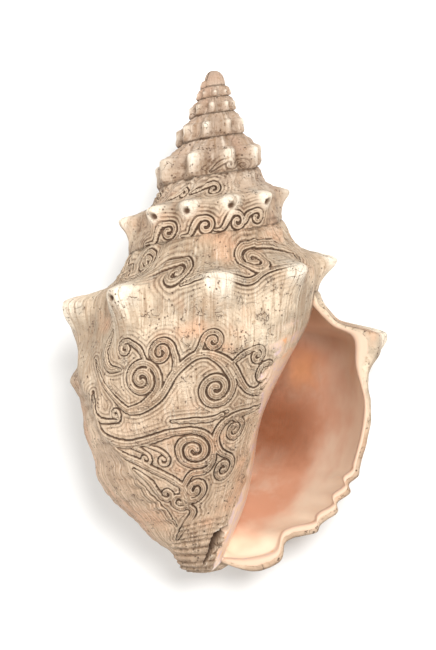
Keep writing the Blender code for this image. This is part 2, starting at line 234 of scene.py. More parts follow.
# Ribbons of the front. Points are seen from the mouth's side, right of the axis and below the
# apex. Then come the widest half width, the scroll's radius, which way it turns (1 is
# anticlockwise, and a radius of 0 is a plain ribbon), its pitch, and the lines along the ribbon.
FRONT_RIBBONS = (
    (((-46.8, 128.2), (-44.8, 138.5), (-41.3, 144.8), (-34.2, 148.4), (-26.3, 146.4), (-17.6, 143.3),
      (-11.2, 142.2)), 1.8, 8.6, -1, 3.4, 3),
    (((-0.6, 147.2), (-0.2, 153.5), (-3.3, 157.9), (-8.9, 159.8), (-11.5, 163.4)), 1.2, 5.2, 1, 2.7, 3),
    (((21.1, 131.4), (14.0, 134.6), (6.1, 137.7), (1.4, 141.7), (0.2, 146.4), (2.6, 150.8),
      (6.3, 153.1)), 1.5, 4.6, -1, 2.6, 3),
    (((14.0, 135.6), (8.2, 137.6), (9.7, 138.3)), 1.1, 4.0, -1, 2.3, 3),
    (((-43.2, 142.9), (-35.7, 151.2), (-27.0, 155.9), (-19.1, 160.2), (-13.6, 164.6),
      (-11.5, 168.9)), 1.4, 4.2, -1, 2.4, 3),
    (((-38.1, 147.2), (-30.2, 149.6), (-25.9, 151.9)), 1.0, 2.4, -1, 1.7, 2),
    (((-27.8, 148.4), (-21.5, 150.0), (-18.6, 151.9)), 0.9, 2.4, -1, 1.7, 2),
    (((-11.2, 171.5), (-8.1, 174.9), (-11.2, 180.4), (-14.4, 186.9)), 1.2, 0.0, 1, 1.0, 3),
    (((-38.1, 104.3), (-42.2, 111.7), (-40.9, 118.2), (-35.8, 119.2)), 1.6, 0.0, 1, 1.0, 5),
    (((-45.6, 134.6), (-42.4, 139.2), (-37.9, 139.0)), 1.0, 2.6, 1, 1.7, 2),
    (((-47.6, 116.0), (-42.6, 127.4), (-32.0, 134.8), (-21.4, 130.6), (-14.2, 119.4), (-4.6, 113.0),
      (5.4, 116.6), (11.6, 127.4), (19.6, 127.6), (24.1, 121.5)), 1.6, 0.0, 1, 1.0, 3),
    (((-34.0, 134.6), (-27.5, 132.8), (-23.2, 128.2)), 1.6, 7.4, 1, 3.2, 3),
    (((-3.0, 113.4), (3.2, 116.2), (6.4, 121.3)), 1.6, 7.2, -1, 3.2, 3),
    (((8.4, 124.0), (14.4, 127.6), (19.0, 124.8)), 1.3, 4.9, 1, 2.6, 3),
    (((-17.0, 124.0), (-14.4, 116.4), (-15.4, 110.8)), 1.3, 4.9, 1, 2.6, 3),
    (((-8.0, 114.0), (-5.6, 110.5), (-4.4, 107.4)), 1.1, 4.0, -1, 2.3, 3),
    (((6.0, 117.0), (11.0, 113.0), (15.8, 110.2)), 1.1, 3.4, -1, 2.1, 3),
    (((-24.0, 120.0), (-28.0, 112.0), (-32.6, 108.4)), 1.0, 3.0, 1, 2.0, 3),
    (((-17.0, 138.9), (-9.0, 138.0), (-1.0, 137.4), (5.0, 134.6)), 1.0, 0.0, 1, 1.0, 3),
    (((-37.5, 153.5), (-32.5, 160.0), (-27.0, 166.5), (-21.0, 173.5), (-16.0, 181.0)), 1.1, 0.0, 1, 1.0, 3),
    (((-30.0, 157.6), (-26.0, 161.6), (-23.0, 165.0), (-20.8, 168.6)), 1.1, 2.6, 1, 2.0, 3),
    (((-32.5, 86.0), (-24.7, 82.6), (-18.9, 79.4), (-12.5, 77.6)), 1.6, 4.7, -1, 2.9, 3),
    (((33.9, 77.2), (31.1, 73.6), (23.9, 71.0), (16.8, 70.6), (12.5, 71.2)), 1.6, 6.0, 1, 3.2, 3),
    (((-13.5, 87.0), (-5.4, 84.6), (0.3, 83.2), (6.8, 85.0), (13.9, 85.4), (20.3, 81.6),
      (27.5, 78.9)), 1.5, 0.0, 1, 1.0, 3),
    (((-26.8, 70.4), (-23.4, 69.8), (-21.8, 66.6), (-20.0, 63.9), (-17.8, 63.2)), 1.3, 3.2, -1, 2.3, 2),
    (((-12.6, 68.0), (-9.4, 67.3), (-7.8, 64.0), (-6.0, 61.7), (-3.9, 61.1)), 1.3, 3.2, -1, 2.3, 2),
    (((0.0, 65.6), (3.2, 65.0), (4.8, 61.7), (6.6, 59.4), (8.7, 58.9)), 1.3, 3.2, -1, 2.3, 2),
    (((10.2, 63.4), (12.3, 62.0), (13.2, 59.3), (15.3, 57.9)), 1.2, 2.6, -1, 2.0, 2),
    (((-1.5, 41.6), (1.6, 39.2), (4.4, 37.8)), 0.9, 1.9, -1, 1.6, 2),
    (((6.4, 40.8), (9.2, 38.6), (11.4, 37.4)), 0.9, 1.8, -1, 1.5, 2),
    (((-9.5, 51.0), (-5.0, 48.6), (-0.6, 46.8)), 0.9, 2.4, -1, 1.8, 2),
    (((-18.0, 52.6), (-15.0, 51.4), (-12.4, 49.4)), 0.8, 1.7, -1, 1.5, 2),
)

# Running scrolls of the sides and back: first and last angle back from the lip, middle, below
# the crest, how far the stem swings, its wave's length in degrees, and the scrolls' radius
VINES = (
    (34.0, 182.0, 26.0, 7.5, 37.0, 6.6),
    (34.0, 190.0, 49.0, 6.0, 31.0, 5.4),
    (60.0, 200.0, 66.0, 4.0, 28.0, 3.8),
    (44.0, 240.0, -15.0, 4.0, 30.0, 3.6),
    (405.0, 590.0, -10.0, 2.6, 34.0, 2.5),
)

# Steps to each wave of a running stem, and its widths and the scrolls' pitch: a share of the
# scroll's radius, and millimetres added
VINE_STEPS = 8
STEM_WIDTH = (0.13, 0.5)
CURL_WIDTH = (0.16, 0.3)
CURL_PITCH = (0.32, 0.6)

# The distance where no ribbon is near, the one added on the side that the front doesn't show, the
# share that lets the nearer of two layers win, how far off the nearest point may be, how far from
# a line the gap is measured, and how many points of a path are taken at a time
FAR = 99.0
HIDDEN = 500.0
NEARER_SHARE = 0.02
MOST_OFF = 2.5
HOLE_MOST_OFF = 4.0
GAP_REACH = 6.0
PATH_CHUNK = 16

# Relief. Each edge of a window is a pair: its start, and its reach, which is below 0 where it falls.
# A noise is its height, the size of its cells in millimetres, and its seed.
KNOB_SHARPNESS = 0.8
PALE_KNOB_WIDTH = 0.8
PALE_KNOB_PLACES = 1.1
UPPER_BACKS = ((760.0, 200.0),)
UPPER_KNOB_HEIGHT = 0.55
BEAD_HALF_WIDTH = 13.0
BEAD_HEIGHT = 0.26
BEAD_BASE = 0.45
BEAD_PLACES = ((0.2, 1.3), (5.3, -0.9))
POINT_REACH = 0.15
POINT_HEIGHT = 0.03
GRAINS = ((1.0, 0.12, 1.6, 11), (0.6, 0.2, 0.8, 12))
GRAIN_HEIGHT = 0.1
GRAIN_CREST_RADIUS = 40.0
LUMPS = ((0.3, 7.0, 13), (0.14, 2.6, 14))
WANDER = ((1.0, 12.0, 16),)
PLEAT_HEIGHT = 0.9
PLEAT_CELL = 4.2
PLEAT_SLANT = 6.0
PLEAT_STRETCH = 0.2
PLEAT_PLACES = ((2.1, -1.4),)
SEAM_DEPTH = 0.8
SEAM_WIDTH = 0.2

# Wavy layers near the tip, and scallops along the ridge of the left side
LAYER_PITCH = 3.4
LAYER_HEIGHT = 1.3
LAYER_SLANT = 0.12
LAYER_WANDER = 3.0
LAYER_SEEN = ((-19.0, 7.0),)
LAYER_DROPS = ((174.0, 5.0),)
LAYER_BACKS = ((130.0, 40.0),)
LAYER_FOOT = ((0.7, 0.25),)
SCALLOP_BACK = 206.0
SCALLOP_EDGES = ((0.0, 4.0), (16.0, -8.0))
SCALLOP_PLACES = ((5.5, 1.0),)
SCALLOP_PITCH = 5.2
SCALLOP_WANDER = 2.0
SCALLOP_HEIGHT = 0.45

# Where the chalk is carved, and how the carving fades out
CARVED_CREST_RADII = ((16.0, 8.0),)
CARVED_LIP_BACKS = ((14.0, 16.0),)
BARE_TIP_SEEN = ((-15.0, 5.0),)
BARE_TIP_DROPS = ((175.0, 5.0),)
CARVED_TIP_PLACES = ((16.6, -1.0),)
BARE_RIDGE_BACKS = ((190.0, 8.0),)
BARE_RIDGE_GAPS = ((0.0, 3.0),)
BARE_RIDGE_PLACES = ((5.0, 1.0), (10.6, -1.2))
BARE_KNOBS = ((0.5, 0.35),)
BARE_KNOB_SHARE = 0.85
FADE_PATCHES = ((0.9, 9.0, 21),)
STROKES = ((1.0, 3.4, 22),)
DOME_WIDTH = 0.6
LANE_DEPTH = 0.22
LANE_EXTRA = 0.2
OUTLINE_EXTRA = 0.78
CARVED_SINK = 0.15

# Glaze beside the mouth
GLAZE_BACK = 309.0
GLAZE_LEAN = 13.0
GLAZE_LEAN_PLACES = ((7.0, 4.0),)
GLAZE_SOFTNESS = 14.0
GLAZE_TOP_PLACE = 4.6
GLAZE_TOP_WANDER = 0.12
GLAZE_TOP_REACH = 3.0
GLAZE_WANDER = ((6.0, 8.0, 3), (4.0, 3.0, 4))
BRINK_BACKS = ((349.0, 6.0),)

# Dirt and painted shade in seams and hollows, the share of wear and painted highlight on what stands out, and
# the share of dirt and painted shade in what lies low
DIRT_AND_SHADE_SPOTS = ((0.5, 2.2, 31),)
DIRT_AND_SHADE_LEAST = 0.6
SEAM_DIRT_AND_SHADE = 0.22
LOWER_SEAM_DIRT_AND_SHADE = 0.3
HOLLOW_PLACES = ((2.6, 0.8), (5.2, -0.4))
HOLLOW_BACKS = ((420.0, 160.0),)
HOLLOW_DIRT_AND_SHADE = 0.85
LAYER_FOOT_SHARE = 0.9
BLUR_STEPS = 24
RECESS_DIRT_AND_SHADE_SHARE = 0.95
RECESS_DIRT_AND_SHADE_FROM = 0.08
RAISED_WEAR_AND_HIGHLIGHT_SHARE = 0.6
KNOB_WEAR_AND_HIGHLIGHT = 0.75
KNOB_TIP_SHARE = 0.13

# The chink between the tip's layers and the strip along the mouth, and the drilled knobs
CHINK = ((4.8, 181.8), (2.2, 184.6), (0.2, 187.6), (-1.6, 192.0), (-4.0, 197.0))
CHINK_WIDTHS = ((181.0, 183.6, 187.0, 192.0, 197.0), (0.5, 2.2, 1.7, 1.0, 0.5))
CHINK_DEPTH = 4.0
KNOB_HOLES = ((-33.6, 92.4), (-21.2, 60.2), (-9.4, 58.4), (5.8, 56.4), (18.4, 54.2))
HOLE_RADIUS = 1.1
HOLE_SOFTNESS = 0.9
CUT_OUTSIDE = 1.5
HOLE_DEPTH = 1.8

# How softly the surface presses on the solid's box, where the two skins' hidden cones end below the
# apex, the rows of the canal tip, the rings of the apex, and the most triangles of a piece
BOX_SOFTNESS = 0.5
BOX_MARGIN = 0.01
BODY_CONE_DROP = 56.0
SPIRE_CONE_DROP = 96.0
TIP_ROWS = 13
APEX_RINGS = 15
MOST_TRIANGLES = 196000

# Patches of colour in the mouth: a pale patch that also paints light into the rim's shadow on the shelf, the
# painted glow of light through the thin lip, and brown painted shade deep in the mouth. Each has world x and
# y, and the radii between which they fade, in metres
SHELF_LIGHT_SPOT = (0.029, 0.008, 0.003, 0.014)
GLOW_SPOT = (0.0225, -0.012, 0.0, 0.015)
BROWN_SHADE_SPOT = (0.012, -0.036, 0.006, 0.026)

# The middle of the view, right of the axis and below the apex, and the floor and lights in metres
VIEW_RIGHT = 1.4
VIEW_DROP = 102.0
FLOOR_HALF = 1.5
KEY_PLACE = (0.31, 0.03, 0.84)
KEY_SIZE = 0.25
FILL_PLACE = (-0.6, 0.0, 0.6)
FILL_SIZE = 0.8
SKY_COLOUR = (1.0, 0.99, 0.97, 1.0)


def smooth_step(x):
    """0 below 0, 1 above 1, and a smooth S between."""
    x = np.clip(x, 0.0, 1.0)
    return x * x * (3.0 - 2.0 * x)


def window(value, edges):
    """The product of a smooth S for each edge: 0 at its start, and 1 from its reach beyond it."""
    share = 1.0
    for start, reach in edges:
        share = share * smooth_step((value - start) / reach)
    return share


def bell(x, half_width):
    """A bell of height 1 round 0."""
    return np.exp(-np.square(x / half_width))


def growth_turns(back):
    """Turns above the reference crest. Growth slows as the lip comes near."""
    before = np.minimum(back - REFERENCE_BACK, 0.0)
    slowed = -SLOWING * (1.0 - np.exp(before / SLOWING))
    return (np.maximum(back - REFERENCE_BACK, 0.0) + slowed) / TURN


def crest(back):
    """Radius and drop of the line through the knobs' tips."""
    turns = growth_turns(back)
    drop = CREST_DROP * DROP_RATIO**turns
    blunting = APEX_BLUNTING * np.exp(-drop / APEX_BLUNT_DEPTH)
    return CREST_RADIUS * RADIUS_RATIO**turns + blunting, drop


def suture(back):
    """Radius and drop of the seam above the whorl."""
    radius, drop = crest(back)
    near_lip = bell(back, LIP_SUTURE_REACH)
    near_apex = np.exp(-drop / APEX_SUTURE_DEPTH)
    share = SUTURE_RADIUS + LIP_SUTURE_RADIUS * near_lip + APEX_SUTURE_RADIUS * near_apex
    seam_radius = radius * share
    return seam_radius, drop - radius * (SUTURE_RISE + LIP_SUTURE_RISE * near_lip)


def between_stations(back, stations, values):
    """Values at each angle, by a smooth cubic through those at the stations."""
    slopes = np.gradient(values, stations, axis=0)
    at = np.clip(back, stations[0], stations[-1])
    index = np.clip(np.searchsorted(stations, at, side="right") - 1, 0, len(stations) - 2)
    width = stations[index + 1] - stations[index]
    shape = (-1,) + (1,) * (values.ndim - 1)
    t = ((at - stations[index]) / width).reshape(shape)
    width = width.reshape(shape)
    start = (1.0 + 2.0 * t) * (1.0 - t) ** 2 * values[index] + t * (1.0 - t) ** 2 * width * slopes[index]
    end = t * t * (3.0 - 2.0 * t) * values[index + 1] + t * t * (t - 1.0) * width * slopes[index + 1]
    return start + end


def section_points(back):
    """The points that carry the section at each angle: an array of angles, places, (radius, drop)."""
    stations = np.array(sorted(BODY_SECTIONS))
    table = np.array([BODY_SECTIONS[s] for s in stations])
    points = np.zeros((len(back), TIP_PLACE + 1, 2))
    points[:, SEAM_PLACE:] = between_stations(back, stations, table)
    crest_radius, crest_drop = crest(back)
    seam_radius, seam_drop = suture(back)
    points[:, 0] = np.stack([seam_radius, seam_drop], axis=1)
    between = BETWEEN_KNOBS * crest_radius
    for place, (out, down) in enumerate(RAMP, start=1):
        points[:, place, 0] = seam_radius + out * (between - seam_radius)
        points[:, place, 1] = seam_drop + down * (crest_drop - seam_drop)
    points[:, CREST_PLACE] = np.stack([between, crest_drop], axis=1)
    above = back >= TURN
    next_radius, next_drop = suture(back[above] - TURN)
    points[above, SEAM_PLACE] = np.stack([next_radius, next_drop], axis=1)
    points[:, BELOW_CREST_PLACE, 0] = BELOW_CREST * crest_radius
    points[:, BELOW_CREST_PLACE, 1] = 0.5 * (crest_drop + points[:, SEAM_PLACE, 1])
    beyond = back > stations[-1]
    points[beyond, SEAM_PLACE + 1] = 2.0 * points[beyond, SEAM_PLACE] - points[beyond, BELOW_CREST_PLACE]
    return points


def along(points, places):
    """The section at each place, by a smooth curve through its points."""
    last = points.shape[1] - 1
    padded = np.concatenate(
        [2.0 * points[:, :1] - points[:, 1:2], points, 2.0 * points[:, -1:] - points[:, -2:-1]], axis=1
    )
    index = np.clip(np.floor(places).astype(int), 0, last - 1)
    t = (places - index)[None, :, None]
    before, start, end, after = (padded[:, index + n] for n in range(4))
    return 0.5 * (
        2.0 * start
        + (end - before) * t
        + (2.0 * before - 5.0 * start + 4.0 * end - after) * t * t
        + (3.0 * start - before - 3.0 * end + after) * t**3
    )


def knob_backs():
    """The angle of every knob, up to the apex."""
    more = np.arange(KNOB_BACKS[-1] + KNOB_SPACING, LAST_BACK + TURN, KNOB_SPACING)
    return np.concatenate([KNOB_BACKS, more])


def knob_share(back, half_width):
    """1 on the line of a knob, 0 between knobs, at each angle."""
    height = np.zeros(len(back))
    for knob in knob_backs():
        height = np.maximum(height, bell(back - knob, half_width))
    return height[:, None]


def folds(back, places):
    """How far the lip's scalloped folds push its wall out, at each angle and place."""
    start, end = FOLD_PLACES
    share = (places - start) / (end - start)
    ends = smooth_step(share * FOLD_EASE) * smooth_step((1.0 - share) * FOLD_EASE)
    wave = -np.cos(2.0 * math.pi * FOLD_COUNT * share)
    return FOLD_HEIGHT * np.exp(-back / FOLD_REACH)[:, None] * (ends * wave)[None, :]


def relief(back, places):
    """How far knobs, ridge and horn push the surface out and up, at each angle and place."""
    crest_radius = crest(back)[0][:, None]
    height = knob_share(back, KNOB_HALF_WIDTH)
    below_crest = places > KNOB_PLACE
    rise = bell(places - KNOB_PLACE, np.where(below_crest, KNOB_FALL, KNOB_RISE))[None, :]
    horn_rise = bell(places - KNOB_PLACE, np.where(below_crest, HORN_FALL, KNOB_RISE))[None, :]
    knobs = crest_radius * (KNOB_HEIGHT * height - KNOB_SINK) * rise
    horn = HORN_HEIGHT * bell(back - HORN_BACK, HORN_WIDTH)[:, None] * horn_rise
    out = np.maximum(knobs, horn)
    lean = RIDGE_TOP_BACK + RIDGE_LEAN * (places - SEAM_PLACE)
    ridge_window = np.interp(places, RIDGE_PLACES, (0.0, 1.0, 1.0, 0.0))
    ridge = bell(back[:, None] - lean[None, :], RIDGE_HALF_WIDTH) * smooth_step(ridge_window)
    out = out + RIDGE_HEIGHT * ridge
    (knob_back, knob_place), (knob_width, knob_length) = SECOND_KNOB_AT, SECOND_KNOB_SIZE
    spot = bell(back - knob_back, knob_width)[:, None] * bell(places - knob_place, knob_length)[None, :]
    out = out + SECOND_KNOB_HEIGHT * spot
    return out, KNOB_LIFT * crest_radius * height * rise


def shell_space(back, radius, drop):
    """From angle, radius and drop to the shell's own right, apex and front directions."""
    azimuth = np.radians(back + LIP_AZIMUTH)[:, None]
    lean = TIP_LEAN * smooth_step((drop - LEAN_START) / (SHELL_LENGTH - LEAN_START))
    right, front = radius * np.cos(azimuth) - lean, -radius * np.sin(azimuth)
    return np.stack([right, SHELL_LENGTH - drop, front], axis=-1)


def mouth_walls(back, rows, first, last, steps):
    """The mouth's two walls at each angle: the outer one, on all rows, and the inner one."""
    inner_points = section_points(back + TURN)
    inner = along(inner_points, rows)
    top = inner[:, first]
    foot = inner[:, last]
    points = section_points(back)[:, : NOTCH_PLACE]
    tangent = np.gradient(points, axis=1)
    length = np.linalg.norm(tangent, axis=-1, keepdims=True)
    normal = np.stack([-tangent[..., 1], tangent[..., 0]], axis=-1) / length
    wall = LIP_WALL + (WALL - LIP_WALL) * (1.0 - np.exp(-back / LIP_WALL_REACH))
    lining = points + normal * wall[:, None, None]
    share = (lining[:, 2:, 1] - top[:, None, 1]) / (lining[:, -1, 1] - top[:, 1])[:, None]
    lining[:, 2:, 1] = top[:, None, 1] + share * (foot[:, 1] - top[:, 1])[:, None]
    carried = np.concatenate([top[:, None], lining[:, 2:], foot[:, None]], axis=1)
    outer_rows = np.interp(rows[: last + steps + 1], WALL_PLACES, WALL_POINTS)
    outer = along(carried, outer_rows)
    outer[..., 0] += folds(back, rows[: last + steps + 1])
    return outer, inner


def pocket(ring, back):
    """Draw the rings of the mouth in towards their middles, so that it ends in a round pocket."""
    depth = np.clip((back - (MOUTH_BACK - POCKET_LENGTH)) / POCKET_LENGTH, 0.0, POCKET_NARROWING)
    middle = ring.mean(axis=1, keepdims=True)
    return middle + (ring - middle) * np.sqrt(1.0 - depth**2)[:, None, None]


def value_noise(x, y, cell, seed):
    """Smooth random bumps between -1 and 1: random heights on a square grid, eased between."""
    table = np.random.default_rng(seed).random((64, 64)) * 2.0 - 1.0
    gx, gy = np.asarray(x) / cell, np.asarray(y) / cell
    ix, iy = np.floor(gx).astype(int), np.floor(gy).astype(int)
    fx, fy = smooth_step(gx - ix), smooth_step(gy - iy)
    low = table[ix % 64, iy % 64] * (1 - fx) + table[(ix + 1) % 64, iy % 64] * fx
    high = table[ix % 64, (iy + 1) % 64] * (1 - fx) + table[(ix + 1) % 64, (iy + 1) % 64] * fx
    return low * (1 - fy) + high * fy


def smooth_path(points):
    """Points every small step of a smooth curve through the given ones."""
    points = np.asarray(points, float)
    length = np.linalg.norm(np.diff(points, axis=0), axis=1).sum()
    places = np.linspace(0.0, len(points) - 1.0, max(int(length / PATH_STEP), 4))
    return along(points[None], places)[0]


def ribbon_path(points, half, radius, sense, pitch):
    """A ribbon's centre line and its half width along it.

    The half width swells from a point at the start. The scroll goes on from the end on its
    tangent: its radius falls by one pitch a turn, and its turns touch.
    """
    stem = smooth_path(points)
    share = np.linspace(0.0, 1.0, len(stem))
    if radius <= 0.0:
        return stem, np.maximum(half * np.sqrt(np.sin(math.pi * share)), LEAST_HALF_WIDTH)
    swell = half * np.sqrt(np.minimum(share * 2.0, 1.0))
    widths = swell + (SCROLL_FILL * pitch - half) * smooth_step(share * 3.0 - 2.0)
    ahead = stem[-1] - stem[-2]
    heading = math.atan2(ahead[1], ahead[0])
    centre = stem[-1] + radius * np.array([-math.sin(heading), math.cos(heading)]) * sense
    turn = np.arange(0.0, 2.0 * math.pi * (radius / pitch - SCROLL_EYE), PATH_STEP / radius)
    reach = radius - pitch * turn / (2.0 * math.pi)
    angle = heading + sense * (turn - math.pi / 2.0)
    scroll = centre + np.stack([reach * np.cos(angle), reach * np.sin(angle)], axis=1)
    widths = np.concatenate([widths, np.full(len(scroll), SCROLL_FILL * pitch)])
    return np.concatenate([stem, scroll]), np.maximum(widths, LEAST_HALF_WIDTH)


class Patch:
    """A patch of the outside: its angles, places, section, and its place unrolled in millimetres."""

    def __init__(self, back, places):
        self.back, self.places = back, places
        self.section = along(section_points(back), places)
        steps = np.linalg.norm(np.diff(self.section, axis=1), axis=-1)
        length = np.concatenate([np.zeros((len(back), 1)), np.cumsum(steps, axis=1)], axis=1)
        crest_row = int(np.argmin(np.abs(places - CREST_PLACE)))
        self.down = length - length[:, crest_row, None]
        self.radius = self.section[..., 0]
        self.drop = self.section[..., 1]
        self.around = np.radians(back)[:, None] * np.maximum(self.radius, 1.0)
        self.seen, _, self.front = np.moveaxis(shell_space(back, self.radius, self.drop), -1, 0)
        self.line = np.repeat(np.radians(back)[:, None] * crest(back)[0][:, None], len(places), axis=1)
        self.edge = np.full(self.radius.shape, FAR)
        self.phase = np.full(self.radius.shape, FAR)

    def seen_at(self, right, drop):
        """Angle and distance below the crest of a place seen from the front, and how far off it is."""
        off = np.hypot(self.seen - right, self.drop - drop) + np.where(self.front > 0.0, 0.0, HIDDEN)
        off = off - NEARER_SHARE * self.front
        row, column = np.unravel_index(np.argmin(off), off.shape)
        return self.back[row], self.down[row, column], off[row, column]

    def unroll(self, places):
        """A flat frame about some places: the places in it, and the frame's centre.

        Where the surface slopes away from the front, the frame is pressed so that a scroll looks
        round from there.
        """
        places = np.asarray(places)
        back, down = places.mean(axis=0)
        column = int(np.argmin(np.abs(self.back - back)))
        radius = np.interp(down, self.down[column], self.radius[column])
        row = int(np.clip(np.searchsorted(self.down[column], down), 1, len(self.places) - 2))
        ends = [row - 1, row + 1]
        slope = np.diff(self.drop[column, ends])[0] / np.diff(self.down[column, ends])[0]
        stretch = max(abs(slope), LEAST_STRETCH)
        points = np.stack([np.radians(places[:, 0] - back) * radius, (down - places[:, 1]) * stretch], axis=1)
        return points, (back, down, radius, stretch)

    def near(self, low, high, centre):
        """The patch's points within a box of the flat frame: their rows, places and positions in it."""
        back, down, radius, stretch = centre
        spread = np.degrees(max(-low[0], high[0]) / radius) * 1.5
        columns = np.where(np.abs(self.back - back) < spread)[0]
        x = np.radians(self.back[columns] - back)[:, None] * 0.5 * (self.radius[columns] + radius)
        y = (down - self.down[columns]) * stretch
        rows, places = np.where((x > low[0]) & (x < high[0]) & (y > low[1]) & (y < high[1]))
        return columns[rows], places, x[rows, places], y[rows, places]

    def gap(self, places):
        """Distance of every point of the patch from a line through the places, up to a limit."""
        points, centre = self.unroll(places)
        path = smooth_path(points)
        gap = np.full(self.radius.shape, FAR)
        rows, places, x, y = self.near(path.min(axis=0) - GAP_REACH, path.max(axis=0) + GAP_REACH, centre)
        if len(rows):
            gap[rows, places] = np.hypot(x[:, None] - path[:, 0], y[:, None] - path[:, 1]).min(axis=1)
        return gap

    def ribbon(self, places, half, radius, sense, pitch, lanes):
        """Carve one ribbon whose points are given by angle and distance below the crest.

        Each point of the patch keeps the distance to the nearest ribbon's edge, and a phase that
        passes a whole number at every line: along the ribbon inside it, echoing it outside.
        """
        points, centre = self.unroll(places)
        path, widths = ribbon_path(points, half, radius, sense, pitch)
        reach = 2.0 * ECHO_REACH
        rows, places, px, py = self.near(path.min(axis=0) - reach, path.max(axis=0) + reach, centre)
        if not len(px):
            return
        best, width = np.full(len(px), 1e9), np.ones(len(px))
        for k in range(0, len(path), PATH_CHUNK):
            part, halves = path[k : k + PATH_CHUNK], widths[k : k + PATH_CHUNK]
            gap = np.hypot(px[:, None] - part[:, 0], py[:, None] - part[:, 1])
            nearest = (gap - halves).argmin(axis=1)
            wide = halves[nearest]
            edge = gap[np.arange(len(px)), nearest] - wide
            width = np.where(edge < best, wide, width)
            best = np.minimum(edge, best)
        closer = best < self.edge[rows, places]
        rows, places, best, width = rows[closer], places[closer], best[closer], width[closer]
        self.edge[rows, places] = best
        self.phase[rows, places] = np.where(best < 0.0, -lanes * best / (2.0 * width), -best / ECHO_PITCH)

    def vine(self, first, last, middle, swing, wave, radius):
        """Carve a running stem that swings like a sine wave, with a scroll in each of its bays."""
        stem_width, curl_width, curl_pitch = (
            share * radius + least for share, least in (STEM_WIDTH, CURL_WIDTH, CURL_PITCH)
        )
        steps = np.arange(first, last, wave / VINE_STEPS)
        swings = middle + swing * np.sin(2.0 * math.pi * (steps - first) / wave)
        for k in range(0, len(steps) - VINE_STEPS, VINE_STEPS):
            stem = np.stack([steps, swings], axis=1)[k : k + VINE_STEPS + 1]
            self.ribbon(stem, stem_width, 0.0, 1, 1.0, 3)
        for n, bay in enumerate(np.arange(first + wave / 4.0, last - wave / 4.0, wave / 2.0)):
            side = 1.0 if n % 2 else -1.0
            start = (bay - 0.1 * wave, middle - side * 1.05 * swing)
            bend = (bay + 0.1 * wave, middle - side * 0.95 * swing)
            end = (bay + 0.24 * wave, middle - side * (swing - radius * 0.75))
            self.ribbon((start, bend, end), curl_width, radius, -side, curl_pitch, 3)


def carve(patch):
    """All ribbons that reach the patch."""
    for points, *shape in FRONT_RIBBONS:
        found = [patch.seen_at(*point) for point in points]
        if max(off for back, down, off in found) < MOST_OFF:
            patch.ribbon([place[:2] for place in found], *shape)
    for vine in VINES:
        if patch.back[0] <= vine[0] <= patch.back[-1]:
            patch.vine(*vine)


def speckle(patch, noises):
    """The sum of some noises over the unrolled patch."""
    return sum(height * value_noise(patch.around, patch.down, cell, seed) for height, cell, seed in noises)


def glaze_mask(patch):
    """1 on the glazed strip beside the mouth, 0 on the chalky outside."""
    back = patch.back[:, None]
    edge = GLAZE_BACK + GLAZE_LEAN * window(patch.places, GLAZE_LEAN_PLACES)
    wander = speckle(patch, GLAZE_WANDER)
    near = smooth_step((back - edge[None, :] - wander) / GLAZE_SOFTNESS)
    from_top = patch.places[None, :] - GLAZE_TOP_PLACE - GLAZE_TOP_WANDER * wander
    below = smooth_step(from_top / GLAZE_TOP_REACH)
    return near * below * (back < TURN + 1.0)


def sharpening(patch, crest_radius):
    """What takes the solid's broad knobs down to narrow ones, and softens the upper whorls' knobs."""
    back, places = patch.back, patch.places
    below_crest = places > KNOB_PLACE
    rise = bell(places - KNOB_PLACE, np.where(below_crest, KNOB_FALL, KNOB_RISE))[None, :]
    pointed = bell(places - KNOB_PLACE, np.where(below_crest, KNOB_SHARPNESS * KNOB_FALL, KNOB_RISE))[None, :]
    broad = knob_share(back, KNOB_HALF_WIDTH) * rise
    narrow = knob_share(back, KNOB_SHARPNESS * KNOB_HALF_WIDTH) * pointed
    upper = window(back, UPPER_BACKS)[:, None]
    rounded = UPPER_KNOB_HEIGHT * knob_share(back, BEAD_HALF_WIDTH) * rise
    return crest_radius * KNOB_HEIGHT * (narrow + (rounded - narrow) * upper - broad)


def beads(patch, crest_radius):
    """The upper whorls' knobs run down as rounded beads, and the lower ones end in blunt points."""
    back, places = patch.back, patch.places
    upper = window(back, UPPER_BACKS)[:, None]
    ridge = knob_share(back, BEAD_HALF_WIDTH) - BEAD_BASE
    bead = BEAD_HEIGHT * crest_radius * ridge * window(places, BEAD_PLACES)[None, :] * upper
    point = np.zeros_like(patch.radius)
    knob_row = int(np.argmin(np.abs(places - KNOB_PLACE)))
    down = patch.down - patch.down[:, knob_row, None]
    for knob in knob_backs():
        gap = np.hypot(np.radians(back - knob)[:, None] * patch.radius, down)
        point = np.maximum(point, smooth_step(1.0 - gap / (POINT_REACH * crest_radius)))
    return bead + POINT_HEIGHT * crest_radius * point * (1.0 - upper)


def tip_layers(patch):
    """Wavy layers on the front of the tip: a step at every pitch, and the darkening at the foot of each step.
    """
    slanted = patch.down - LAYER_SLANT * patch.around + LAYER_WANDER * speckle(patch, WANDER)
    layer = (slanted / LAYER_PITCH) % 1.0
    here = window(patch.seen, LAYER_SEEN) * window(patch.drop, LAYER_DROPS) * (patch.front > 0.0)
    here = here * (patch.places < TIP_PLACE)[None, :] * window(patch.back, LAYER_BACKS)[:, None]
    return here * (0.5 - layer**2), here * window(layer, LAYER_FOOT)


